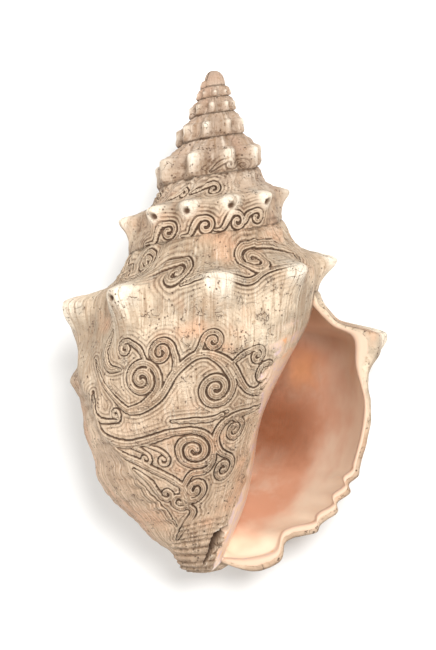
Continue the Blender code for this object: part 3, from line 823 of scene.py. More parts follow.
def roughness(patch, crest_radius, glaze):
    """Growth lines, pleats under the seam, wavy layers near the tip and soft lumps, in millimetres."""
    back, places = patch.back[:, None], patch.places[None, :]
    around, down = patch.around, patch.down
    scale = np.minimum(crest_radius / GRAIN_CREST_RADIUS, 1.0)
    grain = sum(
        strength * value_noise(patch.line, down * stretch, cell, seed)
        for strength, stretch, cell, seed in GRAINS
    )
    pleats = value_noise(back + PLEAT_SLANT * places, places * PLEAT_STRETCH, PLEAT_CELL, 15)
    pleats = pleats * window(places, PLEAT_PLACES)
    margin = window(SCALLOP_BACK + RIDGE_LEAN * (places - SEAM_PLACE) - back, SCALLOP_EDGES)
    wave = (down + LAYER_SLANT * around + SCALLOP_WANDER * speckle(patch, WANDER)) * 2.0 * math.pi
    scallops = np.sin(wave / SCALLOP_PITCH) * window(places, SCALLOP_PLACES)
    chalky = scale * (GRAIN_HEIGHT * grain + speckle(patch, LUMPS)) + PLEAT_HEIGHT * pleats * scale
    chalky = chalky + LAYER_HEIGHT * tip_layers(patch)[0] + SCALLOP_HEIGHT * scallops * margin
    return (1.0 - glaze) * chalky


def dirt_and_shade_mask(patch, knob):
    """Dirt and painted shade in the seams between whorls, and between the knobs of the spire."""
    places = patch.places[None, :]
    spots = DIRT_AND_SHADE_LEAST + speckle(patch, DIRT_AND_SHADE_SPOTS)
    lower_seam = np.exp(-np.abs(SEAM_PLACE - places) / LOWER_SEAM_DIRT_AND_SHADE) * (patch.back >= TURN)[:, None]
    hollow = (1.0 - smooth_step(knob * 2.2)) * window(places, HOLLOW_PLACES)
    spire = window(patch.back, HOLLOW_BACKS)[:, None]
    dirt = np.exp(-places / SEAM_DIRT_AND_SHADE) + lower_seam + HOLLOW_DIRT_AND_SHADE * hollow * spire
    return np.clip((dirt + LAYER_FOOT_SHARE * tip_layers(patch)[1]) * spots, 0.0, 1.0)


def blurred(values, times):
    """Each value averaged with its four neighbours on the grid, again and again."""
    for _ in range(times):
        wide = np.pad(values, 1, mode="edge")
        values = 0.2 * (values + wide[2:, 1:-1] + wide[:-2, 1:-1] + wide[1:-1, 2:] + wide[1:-1, :-2])
    return values


def carved_mask(patch, crest_radius, knob, glaze):
    """1 in the ribbons, fading out round them, and 0 on knobs, lip, tip, glaze and small whorls."""
    back, places = patch.back[:, None], patch.places[None, :]
    inside = patch.edge < 0.0
    strokes = speckle(patch, STROKES)
    ragged = 0.8 + speckle(patch, FADE_PATCHES) + 0.5 * strokes + 0.5 * (patch.edge < 1.0)
    fade = np.exp(-np.maximum(patch.edge, 0.0) / ECHO_REACH) * smooth_step(ragged)
    tip = 1.0 - window(patch.seen, BARE_TIP_SEEN) * window(patch.drop, BARE_TIP_DROPS)
    from_ridge = RIDGE_TOP_BACK + RIDGE_LEAN * (places - SEAM_PLACE) - back
    margin = window(back, BARE_RIDGE_BACKS) * window(from_ridge, BARE_RIDGE_GAPS)
    margin = margin * window(places, BARE_RIDGE_PLACES)
    bare_knobs = BARE_KNOB_SHARE * window(knob, BARE_KNOBS)
    kept = window(crest_radius, CARVED_CREST_RADII) * tip * window(places, CARVED_TIP_PLACES)
    kept = kept * window(back, CARVED_LIP_BACKS) * (1.0 - margin) * (1.0 - bare_knobs) * (1.0 - glaze)
    patch.phase = patch.phase + np.where(inside, 0.0, 0.3 * strokes * smooth_step(patch.edge / 2.0))
    return np.where(inside, 1.0, fade) * kept


def carved_height(patch, carved):
    """Ribbons stand up as domes, with a groove on each line and the deepest one along their edges.

    A dome's height is the ribbon height times 1 less exp of the edge distance over a width.
    """
    sizes = bpy.context.scene.conch_sizes
    ribbon_height, groove_depth = sizes.ribbon_height / MM, sizes.groove_depth / MM
    line = smooth_step((np.cos(2.0 * math.pi * patch.phase) - 0.1) / 0.9)
    outline = smooth_step(2.2 - 3.0 * np.abs(patch.phase))
    dome = np.where(patch.edge < 0.0, 1.0 - np.exp(np.minimum(patch.edge, 0.0) / DOME_WIDTH), 0.0)
    depth = LANE_DEPTH + LANE_EXTRA * (patch.phase < 0.0) + OUTLINE_EXTRA * outline
    return carved * (ribbon_height * dome - groove_depth * line * depth) - CARVED_SINK * carved


def holes_and_chink(patch):
    """1 in the drilled holes of the knobs, and 1 in the chink."""
    hole = np.zeros_like(patch.radius)
    for seen in KNOB_HOLES:
        hole_back, hole_down, off = patch.seen_at(*seen)
        if off < HOLE_MOST_OFF:
            across = np.radians(patch.back - hole_back)[:, None] * patch.radius
            gap = np.hypot(across, patch.down - hole_down)
            depth = smooth_step((HOLE_RADIUS * CUT_OUTSIDE - gap) / (HOLE_RADIUS * HOLE_SOFTNESS))
            hole = np.maximum(hole, depth)
    half = np.interp(patch.drop, *CHINK_WIDTHS)
    gap = patch.gap([patch.seen_at(*point)[:2] for point in CHINK])
    return hole, smooth_step((half * CUT_OUTSIDE - gap) / half) * (patch.back < TURN + 1.0)[:, None]


def dress(patch):
    """Radius and drop of the finished outside, and the masks that its material reads."""
    back, places = patch.back, patch.places
    out, up = relief(back, places)
    crest_radius = crest(back)[0][:, None]
    knob = np.clip(out / np.maximum(KNOB_TIP_SHARE * crest_radius, 0.1), 0.0, 1.2)
    out = out + folds(back, places) + sharpening(patch, crest_radius) + beads(patch, crest_radius)
    pale = knob_share(back, PALE_KNOB_WIDTH * KNOB_HALF_WIDTH)
    pale = pale * bell(places - KNOB_PLACE, PALE_KNOB_PLACES)[None, :]
    glaze = glaze_mask(patch)
    grime = dirt_and_shade_mask(patch, knob)
    carve(patch)
    carved = carved_mask(patch, crest_radius, knob, glaze)
    hole, chink = holes_and_chink(patch)
    height = carved_height(patch, carved) + roughness(patch, crest_radius, glaze)
    height = height - SEAM_DEPTH * np.exp(-places / SEAM_WIDTH)[None, :]
    height = height - HOLE_DEPTH * hole - CHINK_DEPTH * chink
    # How far each point stands out from its blurred surroundings, for the painted highlight on what stands
    # out and the painted shade in what lies low
    lift = out + height
    lift = lift - blurred(lift, BLUR_STEPS)
    # The height goes out square to the section, and the knobs and folds straight out
    tangent = np.gradient(patch.section, axis=1)
    length = np.maximum(np.linalg.norm(tangent, axis=-1), 1e-6)
    side = np.stack([tangent[..., 1], -tangent[..., 0]], axis=-1) / length[..., None]
    radius = patch.radius + out + side[..., 0] * height
    drop = patch.drop - up + side[..., 1] * height
    near_tip = places > TIP_PLACE - 1.2
    radius[:, near_tip] = np.maximum(radius[:, near_tip], 0.2)
    masks = {
        "phase": np.clip(patch.phase, -12.0, 12.0),
        "carved": carved,
        # The holes and the chink, which the material paints dark as painted shade
        "hole": np.maximum(hole, chink),
        # Dirt and painted shade, more where a point lies below its surroundings
        "grime": np.clip(grime + RECESS_DIRT_AND_SHADE_SHARE * np.maximum(-lift - RECESS_DIRT_AND_SHADE_FROM, 0.0), 0.0, 1.0),
        "glaze": glaze,
        # Wear and a painted highlight on pale knob tips and where a point stands above its surroundings
        "worn": np.clip(KNOB_WEAR_AND_HIGHLIGHT * pale + RAISED_WEAR_AND_HIGHLIGHT_SHARE * np.maximum(lift, 0.0), 0.0, 1.0),
        "depth": np.zeros_like(glaze),
        "brink": window(back, BRINK_BACKS)[:, None] * glaze,
        "around": patch.line,
        "down": patch.down,
    }
    return radius, drop, masks


class Skin:
    """A closed skin: points, what its material reads at each, and faces as rows of numbers."""

    def __init__(self):
        self.points, self.masks, self.count, self.quads = [], {}, 0, []

    def add(self, points, masks=None):
        """Add points with their masks, and give their numbers."""
        points = np.asarray(points, float)
        numbers = np.arange(self.count, self.count + points[..., 0].size).reshape(points.shape[:-1])
        self.points.append(points.reshape(-1, 3))
        for name in MASKS:
            values = masks[name] if masks else np.full(points.shape[:-1], MASK_REST[name])
            self.masks.setdefault(name, []).append(np.asarray(values, float).reshape(-1))
        self.count += numbers.size
        return numbers

    def sheet(self, numbers):
        """Quads between neighbouring rows and columns."""
        corners = (numbers[:-1, :-1], numbers[:-1, 1:], numbers[1:, 1:], numbers[1:, :-1])
        self.quads.append(np.stack([c.ravel() for c in corners], axis=1))

    def fan(self, loop, point):
        """Triangles from a loop of numbers to one point, as quads with a doubled corner."""
        after = np.roll(loop, -1)
        tip = np.full(len(loop), point)
        self.quads.append(np.stack([loop, after, tip, tip], axis=1))

    def mesh(self, name):
        """The skin as a mesh of triangles, facing out. A quad with a doubled corner is one triangle."""
        points = inside_box(place_in_world(np.concatenate(self.points))) * MM
        quads = np.concatenate(self.quads)
        corners = np.concatenate([quads[:, [0, 1, 2]], quads[:, [0, 2, 3]]])
        apart = (corners != np.roll(corners, 1, axis=1)).all(axis=1)
        used, corners = np.unique(corners[apart], return_inverse=True)
        mesh = bpy.data.meshes.new(name)
        mesh.from_pydata(points[used], [], corners.reshape(-1, 3))
        for key, parts in self.masks.items():
            layer = mesh.attributes.new(key, "FLOAT", "POINT")
            layer.data.foreach_set("value", np.concatenate(parts)[used].astype(np.float32))
        work = bmesh.new()
        work.from_mesh(mesh)
        bmesh.ops.recalc_face_normals(work, faces=work.faces)
        if work.calc_volume(signed=True) < 0.0:
            bmesh.ops.reverse_faces(work, faces=work.faces)
        work.to_mesh(mesh)
        work.free()
        mesh.shade_smooth()
        return mesh


# What the material reads at each point, where nothing else is said
MASK_REST = {
    "phase": 0.5, "carved": 0.0, "hole": 0.0, "grime": 0.0, "glaze": 0.0, "worn": 0.0, "depth": 0.0,
    "brink": 0.0, "around": 0.0, "down": 0.0,
}
MASKS = tuple(MASK_REST)


def rest_turn():
    """The turn that lays the shell down, as a 3 by 3 array."""
    roll = Matrix.Rotation(math.radians(REST_ROLL), 3, "Y")
    pitch = Matrix.Rotation(math.radians(REST_PITCH), 3, "X")
    return np.array(pitch @ roll)


def solid_offset():
    """Where the shell's own origin is, in millimetres, found from the solid's apex."""
    solid = bpy.data.objects[NODE].data
    points = np.empty(len(solid.vertices) * 3)
    solid.vertices.foreach_get("co", points)
    points = points.reshape(-1, 3) / MM
    up = rest_turn() @ np.array([0.0, 1.0, 0.0])
    return SHELL_LENGTH * up - points[np.argmax(points @ up)]


OFFSET = solid_offset()


def place_in_world(points):
    """From the shell's own directions to the world, in millimetres."""
    return points @ rest_turn().T - OFFSET


def inside_box(points):
    """The points pressed softly inside the solid's box: within a millimetre or so of a side they
    close up towards it, d becoming s ln(1 + exp(d / s)).
    """
    low, high = np.array(CAD_BOX) / MM
    low, high = low + BOX_MARGIN, high - BOX_MARGIN
    soft = BOX_SOFTNESS
    above = np.logaddexp(0.0, (points - low) / soft) * soft
    return high - np.logaddexp(0.0, (high - low - above) / soft) * soft


def body_skin():
    """The last whorl with its lip and mouth, closed by a cone that hides inside the spire."""
    skin = Skin()
    step = TURN / BODY_COLUMNS
    extra = round(OVERLAP / step)
    whorl_rows = np.linspace(0.0, SEAM_PLACE, FINE_WHORL_ROWS + 1)
    body_rows = SEAM_PLACE + (NOTCH_PLACE - SEAM_PLACE) * np.linspace(0.0, 1.0, FINE_BODY_ROWS + 1)[1:]
    tip_rows = np.linspace(NOTCH_PLACE, TIP_PLACE, TIP_ROWS + 2)[1:-1]
    rows = np.concatenate([whorl_rows, body_rows, tip_rows])
    seam_row = FINE_WHORL_ROWS
    notch_row = FINE_WHORL_ROWS + FINE_BODY_ROWS
    first, last = seam_row + FINE_RIM_STEPS, notch_row - FINE_RIM_STEPS

    patch = Patch(np.arange(0, BODY_COLUMNS + 1) * step, rows)
    radius, drop, masks = dress(patch)
    points = shell_space(patch.back, radius, drop)
    body = skin.add(points, masks)
    body[-1, seam_row] = body[0, 0]
    body[-1, notch_row:] = body[0, notch_row:]
    skin.sheet(body)

    beyond = Patch(TURN + np.arange(1, extra + 1) * step, whorl_rows)
    more_radius, more_drop, more_masks = dress(beyond)
    sink = OVERLAP_SINK * (beyond.back - TURN)[:, None]
    tail = skin.add(shell_space(beyond.back, more_radius - sink, more_drop + sink), more_masks)
    tail = np.concatenate([body[-1:, : seam_row + 1], tail])
    upper_edge = np.concatenate([body[:-1, 0], tail[:, 0]])
    tail[:, seam_row] = upper_edge[: len(tail)]
    skin.sheet(tail)
    tip = skin.add([[-TIP_LEAN, 0.0, 0.0]])[0]
    skin.fan(body[:-1, -1], tip)
    loop = np.concatenate([upper_edge[-BODY_COLUMNS - 1 :], tail[-1, 1:seam_row]])
    skin.fan(loop, skin.add([[0.0, SHELL_LENGTH - BODY_CONE_DROP, 0.0]])[0])

    mouth_back = np.linspace(0.0, MOUTH_BACK, MOUTH_COLUMNS + 1)
    outer, inner = mouth_walls(mouth_back, rows, first, last, FINE_RIM_STEPS)
    lining = shell_space(mouth_back, outer[..., 0], outer[..., 1])
    core = shell_space(mouth_back + TURN, inner[..., 0], inner[..., 1])
    ring = np.concatenate([lining, core[:, last - 1 : first : -1]], axis=1)
    ring_masks = {name: np.full(ring.shape[:-1], MASK_REST[name]) for name in MASKS}
    ring_masks["glaze"] = np.ones(ring.shape[:-1])
    ring_masks["depth"] = np.repeat(mouth_back[:, None] / MOUTH_BACK, ring.shape[1], axis=1)
    ring_masks["down"] = np.repeat(np.arange(ring.shape[1])[None, :] * 0.6, len(ring), axis=0)
    ring_masks["around"] = np.repeat(mouth_back[:, None] * 0.9, ring.shape[1], axis=1)
    rings = skin.add(pocket(ring, mouth_back), ring_masks)
    lining_rows = notch_row + 1
    rings[0, 0] = body[-1, first]
    rings[0, notch_row] = body[-1, last]
    rings[0, lining_rows:] = body[-1, last - 1 : first : -1]
    skin.sheet(np.concatenate([rings, rings[:, :1]], axis=1))
    middle = pocket(ring, mouth_back)[-1].mean(axis=0)
    end = skin.add([middle], {name: [ring_masks[name][-1, 0]] for name in MASKS})[0]
    skin.fan(rings[-1], end)

    lip = points[0, :lining_rows]
    inside = lining[0, :lining_rows]
    forward = np.array([math.sin(math.radians(LIP_AZIMUTH)), 0.0, math.cos(math.radians(LIP_AZIMUTH))])
    rim = [body[0, :lining_rows]]
    for k in range(1, FINE_RIM_STEPS):
        share = k / FINE_RIM_STEPS
        bulge = RIM_ROUNDING * math.sqrt(math.sin(math.pi * share))
        rim_masks = {name: np.full(lining_rows, MASK_REST[name]) for name in MASKS}
        rim_masks["glaze"] = np.full(lining_rows, smooth_step(np.array(share * 2.2 - 0.6)))
        numbers = skin.add(lip + (inside - lip) * share + forward * bulge, rim_masks)
        numbers[0] = body[-1, seam_row + k]
        numbers[-1] = body[-1, notch_row - k]
        rim.append(numbers)
    rim.append(rings[0, :lining_rows])
    skin.sheet(np.stack(rim))
    return skin


def spire_skin():
    """The earlier whorls up to the apex, closed by a cone that hides inside the last whorl."""
    skin = Skin()
    step = TURN / SPIRE_COLUMNS
    extra = round(OVERLAP / step)
    rows = np.linspace(0.0, SEAM_PLACE, FINE_SPIRE_ROWS + 1)
    seam_row = FINE_SPIRE_ROWS
    last_column = round(FINE_LAST_BACK / step)
    back = np.arange(SPIRE_COLUMNS - extra, last_column + 1) * step
    patch = Patch(back, rows)
    radius, drop, masks = dress(patch)
    sink = OVERLAP_SINK * np.maximum(TURN - back, 0.0)[:, None]
    points = shell_space(back, radius - sink, drop + sink)
    strip = skin.add(points, masks)
    strip[SPIRE_COLUMNS:, seam_row] = strip[: len(back) - SPIRE_COLUMNS, 0]
    skin.sheet(strip)
    foot = strip[: SPIRE_COLUMNS + 1, seam_row].copy()
    foot[-1] = strip[0, 0]
    hem_radius = radius[:SPIRE_COLUMNS, seam_row:] - SKIRT
    hem_drop = drop[:SPIRE_COLUMNS, seam_row:] + SKIRT
    skirt = skin.add(shell_space(back[:SPIRE_COLUMNS], hem_radius, hem_drop)[:, 0])
    hem = np.concatenate([skirt, strip[:1, 0]])
    skin.sheet(np.stack([foot, hem]))
    loop = np.concatenate([skirt, strip[0, : seam_row]])
    skin.fan(loop, skin.add([[0.0, SHELL_LENGTH - SPIRE_CONE_DROP, 0.0]])[0])

    loop = np.concatenate([strip[-SPIRE_COLUMNS - 1 :, 0], strip[-1, 1:seam_row]])
    edge = np.concatenate([points[-SPIRE_COLUMNS - 1 :, 0], points[-1, 1:seam_row]])
    apex = np.array([0.0, SHELL_LENGTH, 0.0])
    for share in np.linspace(0.0, 1.0, APEX_RINGS + 2)[1:-1]:
        inward = 1.0 - math.cos(0.5 * math.pi * share)
        up = math.sin(0.5 * math.pi * share)
        ring = skin.add(edge + (apex - edge) * np.array([inward, up, inward]))
        skin.sheet(np.stack([np.append(loop, loop[0]), np.append(ring, ring[0])]))
        loop = ring
    skin.fan(loop, skin.add([apex])[0])
    return skin


def thinned(mesh, most):
    """The mesh with its flattest triangles merged, down to the number wanted."""
    triangles = sum(len(p.vertices) - 2 for p in mesh.polygons)
    if triangles <= most:
        return mesh
    piece = bpy.data.objects.new("thinning", mesh)
    bpy.context.scene.collection.objects.link(piece)
    modifier = piece.modifiers.new("thin", "DECIMATE")
    modifier.ratio = most / triangles
    result = bpy.data.meshes.new_from_object(piece.evaluated_get(bpy.context.evaluated_depsgraph_get()))
    bpy.data.objects.remove(piece)
    return result


def tint(red, green, blue):
    """A colour as the shader wants it, from its usual 0 to 255 numbers."""
    parts = [c / 255.0 for c in (red, green, blue)]
    return tuple(c / 12.92 if c <= 0.04045 else ((c + 0.055) / 1.055) ** 2.4 for c in parts) + (1.0,)


class Value:
    """A number of the shader. Arithmetic on it adds Math nodes."""

    def __init__(self, paint, socket):
        self.paint, self.socket = paint, socket

    def __add__(self, other):
        return self.paint.maths("ADD", self, other)

    def __sub__(self, other):
        return self.paint.maths("SUBTRACT", self, other)

    def __mul__(self, other):
        return self.paint.maths("MULTIPLY", self, other)

    def __rsub__(self, other):
        return self.paint.maths("SUBTRACT", other, self)

    __radd__ = __add__
    __rmul__ = __mul__


class Paint:
    """The nodes of one material."""

    def __init__(self, name):
        self.material = bpy.data.materials.new(name)
        self.material.use_nodes = True
        self.tree = self.material.node_tree
        self.tree.nodes.clear()

    def node(self, kind, settings, sockets):
        """A node of a type: its settings first, then the value or link of each socket."""
        made = self.tree.nodes.new("ShaderNode" + kind)
        for key, value in settings.items():
            setattr(made, key, value)
        for key, value in sockets.items():
            if isinstance(value, Value):
                value = value.socket
            if isinstance(value, bpy.types.NodeSocket):
                self.tree.links.new(value, made.inputs[key])
            else:
                made.inputs[key].default_value = value
        return made

    def maths(self, operation, *values):
        """A Math node's result."""
        made = self.node("Math", {"operation": operation}, dict(enumerate(values)))
        return Value(self, made.outputs[0])

    def mask(self, name):
        """A number kept at each point of the mesh."""
        made = self.node("Attribute", {"attribute_name": name}, {})
        return Value(self, made.outputs["Fac"])

    def place(self):
        """Where a point is on the piece, in metres."""
        return self.node("TexCoord", {}, {}).outputs["Object"]

    def pair(self, x, y, z=0.0):
        """A vector of two or three numbers."""
        return self.node("CombineXYZ", {}, {"X": x, "Y": y, "Z": z}).outputs[0]

    def noise(self, vector, scale, detail=3.0, roughness=0.55):
        """Cloudy noise about 0.5."""
        sockets = {"Vector": vector, "Scale": scale, "Detail": detail, "Roughness": roughness}
        return Value(self, self.node("TexNoise", {}, sockets).outputs["Fac"])

    def cells(self, vector, scale):
        """Distance from the nearest of many scattered points."""
        made = self.node("TexVoronoi", {}, {"Vector": vector, "Scale": scale})
        return Value(self, made.outputs["Distance"])

    def ease(self, value, low, high):
        """0 at low and 1 at high, with a smooth S between."""
        sockets = {"Value": value, "From Min": low, "From Max": high}
        return Value(self, self.node("MapRange", {"interpolation_type": "SMOOTHSTEP"}, sockets).outputs[0])

    def mix(self, share, first, second):
        """From the first colour to the second."""
        made = self.node("Mix", {"data_type": "RGBA"}, {0: share, 6: first, 7: second})
        return made.outputs[2]

    def layers(self, colour, *layers):
        """A colour with others laid over it, each with its share."""
        for share, over in layers:
            colour = self.mix(share, colour, over)
        return colour

    def finish(self, height, distance, **sockets):
        """The shader itself, with its bump."""
        bump = self.node("Bump", {}, {"Height": height, "Distance": distance, "Strength": 1.0})
        sockets["Normal"] = bump.outputs[0]
        named = {key.replace("_", " "): value for key, value in sockets.items()}
        shader = self.node("BsdfPrincipled", {}, named)
        self.node("OutputMaterial", {}, {"Surface": shader.outputs[0]})
        return self.material


def shell_paint(colours):
    """Chalky outside with stained grooves, worn knobs with a painted highlight, dirt and painted shade in
    seams and hollows, and the glazed, coloured mouth with painted light and shade.
    """
    paint = Paint(SHELL_MATERIAL)
    ease, noise = paint.ease, paint.noise
    place = paint.place()
    phase, carved, hole, glaze, worn, depth, around, down, grime, brink = (
        paint.mask(name)
        for name in ("phase", "carved", "hole", "glaze", "worn", "depth", "around", "down", "grime", "brink")
    )
    parts = paint.node("SeparateXYZ", {}, {0: place})
    across, along_shell = Value(paint, parts.outputs[0]), Value(paint, parts.outputs[1])

    wide = noise(place, 60.0, 4.0)
    middle = noise(place, 140.0, 4.0, 0.6)
    fine = noise(place, 650.0, 5.0, 0.7)
    growth = noise(paint.pair(around * 1.25, down * 0.05), 1.0, 4.0, 0.65)
    cords = noise(paint.pair(around * 0.07, down * 1.3, 7.0), 1.0, 3.0, 0.6)
    bands = noise(paint.pair(around * 0.24, down * 0.03, 11.0), 1.0, 3.0, 0.6)
    crack = paint.maths("ABSOLUTE", noise(place, 210.0, 3.0, 0.5) - 0.5)
    crack = ease(crack, 0.015, 0.004) * ease(middle, 0.52, 0.6)
    pit = ease(paint.cells(place, 560.0), 0.3, 0.14) * ease(noise(place, 240.0, 2.0), 0.49, 0.57)

    # Lines stand where the phase is whole: the ribbon's outline at 0, others fainter
    wave = paint.maths("COSINE", phase * (2.0 * math.pi))
    apart = paint.maths("ABSOLUTE", phase)
    faint = ease(wave, 0.35, 0.95) * (0.3 + 0.25 * ease(phase, -0.3, -0.5))
    cut = carved * paint.maths("MAXIMUM", faint, ease(apart, 0.33, 0.05))
    chalk = paint.layers(
        colours.chalk,
        (ease(wide, 0.34, 0.62), colours.pale),
        (ease(middle, 0.48, 0.68) * 0.6, colours.dust),
        (ease(noise(place, 33.0, 4.0, 0.6), 0.48, 0.62) * 0.6, colours.dust),
        (ease(noise(place, 48.0, 3.0), 0.5, 0.68) * 0.65, colours.tan),
        (ease(along_shell, 0.02, 0.07) * 0.7, colours.spire),
        (ease(along_shell, -0.01, -0.06) * 0.25, colours.tan),
        # Wear and a painted highlight on knobs and raised places
        (ease(worn + (middle - 0.5) * 1.2, 0.15, 1.15) * 0.85, colours.worn),
        (ease(growth, 0.5, 0.66) * 0.75, colours.streak),
        (ease(cords, 0.54, 0.72) * 0.28, colours.streak),
        (ease(growth, 0.46, 0.3) * 0.45, colours.worn),
        (ease(bands, 0.5, 0.66) * 0.5, colours.streak),
        (carved * 0.3, colours.streak),
        (ease(fine, 0.54, 0.7) * 0.7, colours.pit),
        # Dirt and painted shade in seams, hollows and recesses
        (grime * (0.25 + 0.75 * ease(middle + fine, 0.85, 1.15)), colours.grime),
        (paint.maths("MAXIMUM", pit, crack) * 0.85, colours.groove),
        # Painted shade along the ribbons' outlines
        (ease(apart, 0.75, 0.1) * carved * 0.36, colours.grime),
        # Painted highlight on the ribbons' rolls between their lines
        (ease(wave, 0.1, -0.9) * carved * 0.5, colours.pale),
        (cut * (0.75 + 0.5 * ease(fine, 0.35, 0.6)), colours.groove),
        # Painted shade: the holes and the chink in the groove colour
        (hole, colours.groove),
    )

    low = ease(along_shell, -0.03, -0.08)
    inward = depth + (noise(place, 38.0, 3.0) - 0.5) * 0.4
    mottle = noise(place, 62.0, 3.0, 0.6)
    mouth = paint.layers(
        colours.lip,
        (ease(inward, 0.05, 0.3), colours.rose),
        (ease(inward, 0.3, 0.7) * (1.0 - 0.75 * low), colours.throat),
        (ease(wide, 0.5, 0.75) * 0.4, colours.lip),
        # Brown painted shade, mottled, deep in the mouth
        (ease(mottle, 0.46, 0.64) * ease(depth, 0.15, 0.4) * (1.0 - low) * 0.65, colours.shade),
    )
    # Pale glaze with painted light in the rim's shadow, the painted glow of light through the thin lip, and
    # brown painted shade deep in the mouth
    for (spot_x, spot_y, inner, outer), strength, spot_colour in (
        (SHELF_LIGHT_SPOT, 0.8, colours.lip), (GLOW_SPOT, 0.6, colours.glow), (BROWN_SHADE_SPOT, 0.8, colours.shade),
    ):
        off_x, off_y = across - spot_x, along_shell - spot_y
        off = paint.maths("SQRT", off_x * off_x + off_y * off_y) + (mottle - 0.5) * 0.02
        share = ease(off, outer, inner) * ease(depth, 0.02, 0.1) * strength
        mouth = paint.mix(share, mouth, spot_colour)
    callus = ease(depth, 0.02, 0.005) * (1.0 - 0.7 * brink)
    pearl = noise(paint.pair(around * 0.2, down * 0.13, 3.0), 1.0, 4.0, 0.65)
    mouth = paint.layers(
        mouth,
        (callus * 0.9, colours.callus),
        (callus * ease(growth, 0.5, 0.68) * 0.5, colours.streak),
        (callus * ease(pearl, 0.5, 0.6) * 0.8, colours.pearl),
        (callus * ease(pearl, 0.43, 0.33) * 0.85, colours.glow),
    )

    glazed = ease(glaze + (fine - 0.5) * 0.4 + (middle - 0.5) * 0.9, 0.3, 0.62)
    chalk_height = (
        (fine - 0.5) * 1.0 + (middle - 0.5) * 1.3 + (growth - 0.5) * 1.1 + (cords - 0.5) * 0.25
        - pit * 0.35 - crack * 0.25 - cut * 0.9
    )
    height = chalk_height * (1.0 - glazed) + (growth - 0.5) * 0.12 * glazed
    return paint.finish(
        height, 0.0008, Base_Color=paint.mix(glazed, chalk, mouth), Roughness=0.7 - 0.36 * glazed,
        Coat_Weight=glazed * 0.45, Coat_Roughness=0.12, IOR=1.5,
    )


def floor_paint(colour):
    """Plain pale paper."""
    paint = Paint("pale_floor")
    grain = paint.noise(paint.place(), 300.0, 2.0)
    return paint.finish(grain * 0.02, 0.0002, Base_Color=tuple(colour), Roughness=0.85)


COLOURS = {
    "chalk": ("Chalk", "The chalky outside", (198, 172, 144)),
    # Also painted as the highlight on the ribbons' rolls
    "pale": ("Pale chalk", "Its paler patches", (226, 205, 178)),
    "dust": ("Dust", "Its grey patches", (156, 138, 117)),
    "streak": ("Streak", "Growth streaks", (154, 125, 97)),
    "tan": ("Tan", "Tan blotches", (216, 164, 128)),
    "spire": ("Spire", "The greyer spire", (166, 141, 124)),
    # Wear, and a painted highlight on knobs and raised places
    "worn": ("Worn", "Worn knobs and rolls", (252, 240, 220)),
    "pit": ("Pits", "Pits and fine scratches", (150, 114, 78)),
    # Dirt, and painted shade in seams, hollows, recesses and beside the ribbons' outlines
    "grime": ("Grime", "Dirt in seams and hollows", (120, 92, 68)),
    # Also painted into the holes and the chink as painted shade
    "groove": ("Grooves", "Stained grooves", (88, 62, 42)),
    # Also painted as light on the shelf in the rim's shadow
    "lip": ("Lip", "Glaze at the lip", (248, 226, 200)),
    "rose": ("Rose", "Glaze inside the lip", (223, 165, 133)),
    "callus": ("Callus", "Thin glaze beside the mouth", (212, 180, 154)),
    "pearl": ("Pearl", "Lilac glaze beside the mouth", (200, 174, 178)),
    # Brown painted shade deep in the mouth
    "shade": ("Mouth shade", "Brown mottling deep in the mouth", (142, 84, 52)),
    # Also painted as the glow of light through the thin lip
    "glow": ("Glow", "Orange patches of the glaze", (226, 158, 104)),
    "throat": ("Throat", "Glaze deep in the mouth", (180, 110, 76)),
    "floor": ("Floor", "The floor", (246, 246, 245)),
}


class ConchColours(bpy.types.PropertyGroup):
    """Colours of the shell and the floor."""

    __annotations__ = {
        key: bpy.props.FloatVectorProperty(
            name=name, description=description, subtype="COLOR", size=4, min=0.0, max=1.0,
            default=tint(*colour),
        )
        for key, (name, description, colour) in COLOURS.items()
    }


def number(name, description, default, unit="NONE"):
    """A number that the panel shows."""
    return bpy.props.FloatProperty(
        name=name, description=description, default=default, unit=unit, precision=5
    )


class ConchSizes(bpy.types.PropertyGroup):
    """Sizes of the shell's finish."""

    groove_depth: number("Groove depth", "How deep the carved grooves are", GROOVE_DEPTH * MM, "LENGTH")
    ribbon_height: number("Ribbon height", "How high the carved ribbons stand", RIBBON_HEIGHT * MM, "LENGTH")


class ConchStage(bpy.types.PropertyGroup):
    """The camera and the lights."""

    lens: number("Lens", "Focal length in millimetres", 110.0)
    view_height: number("View height", "Height of the view at the shell's axis", 0.26, "LENGTH")
    key_power: number("Key light", "Power in watts", 7.9)
    fill_power: number("Fill light", "Power in watts", 3.2)
    sky: number("Sky", "Strength of the even light", 0.55)


def show_piece(name, mesh):
    """Put a piece in the scene in place of the solid."""
    piece = bpy.data.objects.new(name, mesh)
    bpy.context.scene.collection.objects.link(piece)
    if SHELL_MATERIAL not in bpy.data.materials:
        shell_paint(bpy.context.scene.conch_colours)
    mesh.materials.append(bpy.data.materials[SHELL_MATERIAL])
    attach(piece, "root")
    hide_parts(NODE)
    return piece


class CONCH_OT_body_whorl(bpy.types.Operator):
    """Make the last whorl with its lip and mouth"""

    bl_idname = "conch.body_whorl"
    bl_label = "Last whorl and mouth"

    def execute(self, context):
        show_piece("body_whorl", thinned(body_skin().mesh("body_whorl"), MOST_TRIANGLES))
        return {"FINISHED"}


class CONCH_OT_spire(bpy.types.Operator):
    """Make the earlier whorls up to the apex"""

    bl_idname = "conch.spire"
    bl_label = "Spire"

    def execute(self, context):
        show_piece("spire", thinned(spire_skin().mesh("spire"), MOST_TRIANGLES))
        return {"FINISHED"}


def area_light(name, power, size, place, target):
    """A square soft light at a place, turned to a target."""
    data = bpy.data.lights.new(name, "AREA")
    data.energy, data.size = power, size
    light = bpy.data.objects.new(name, data)
    light.location = place
    light.rotation_euler = (Vector(target) - Vector(place)).to_track_quat("-Z", "Y").to_euler()
    bpy.context.scene.collection.objects.link(light)


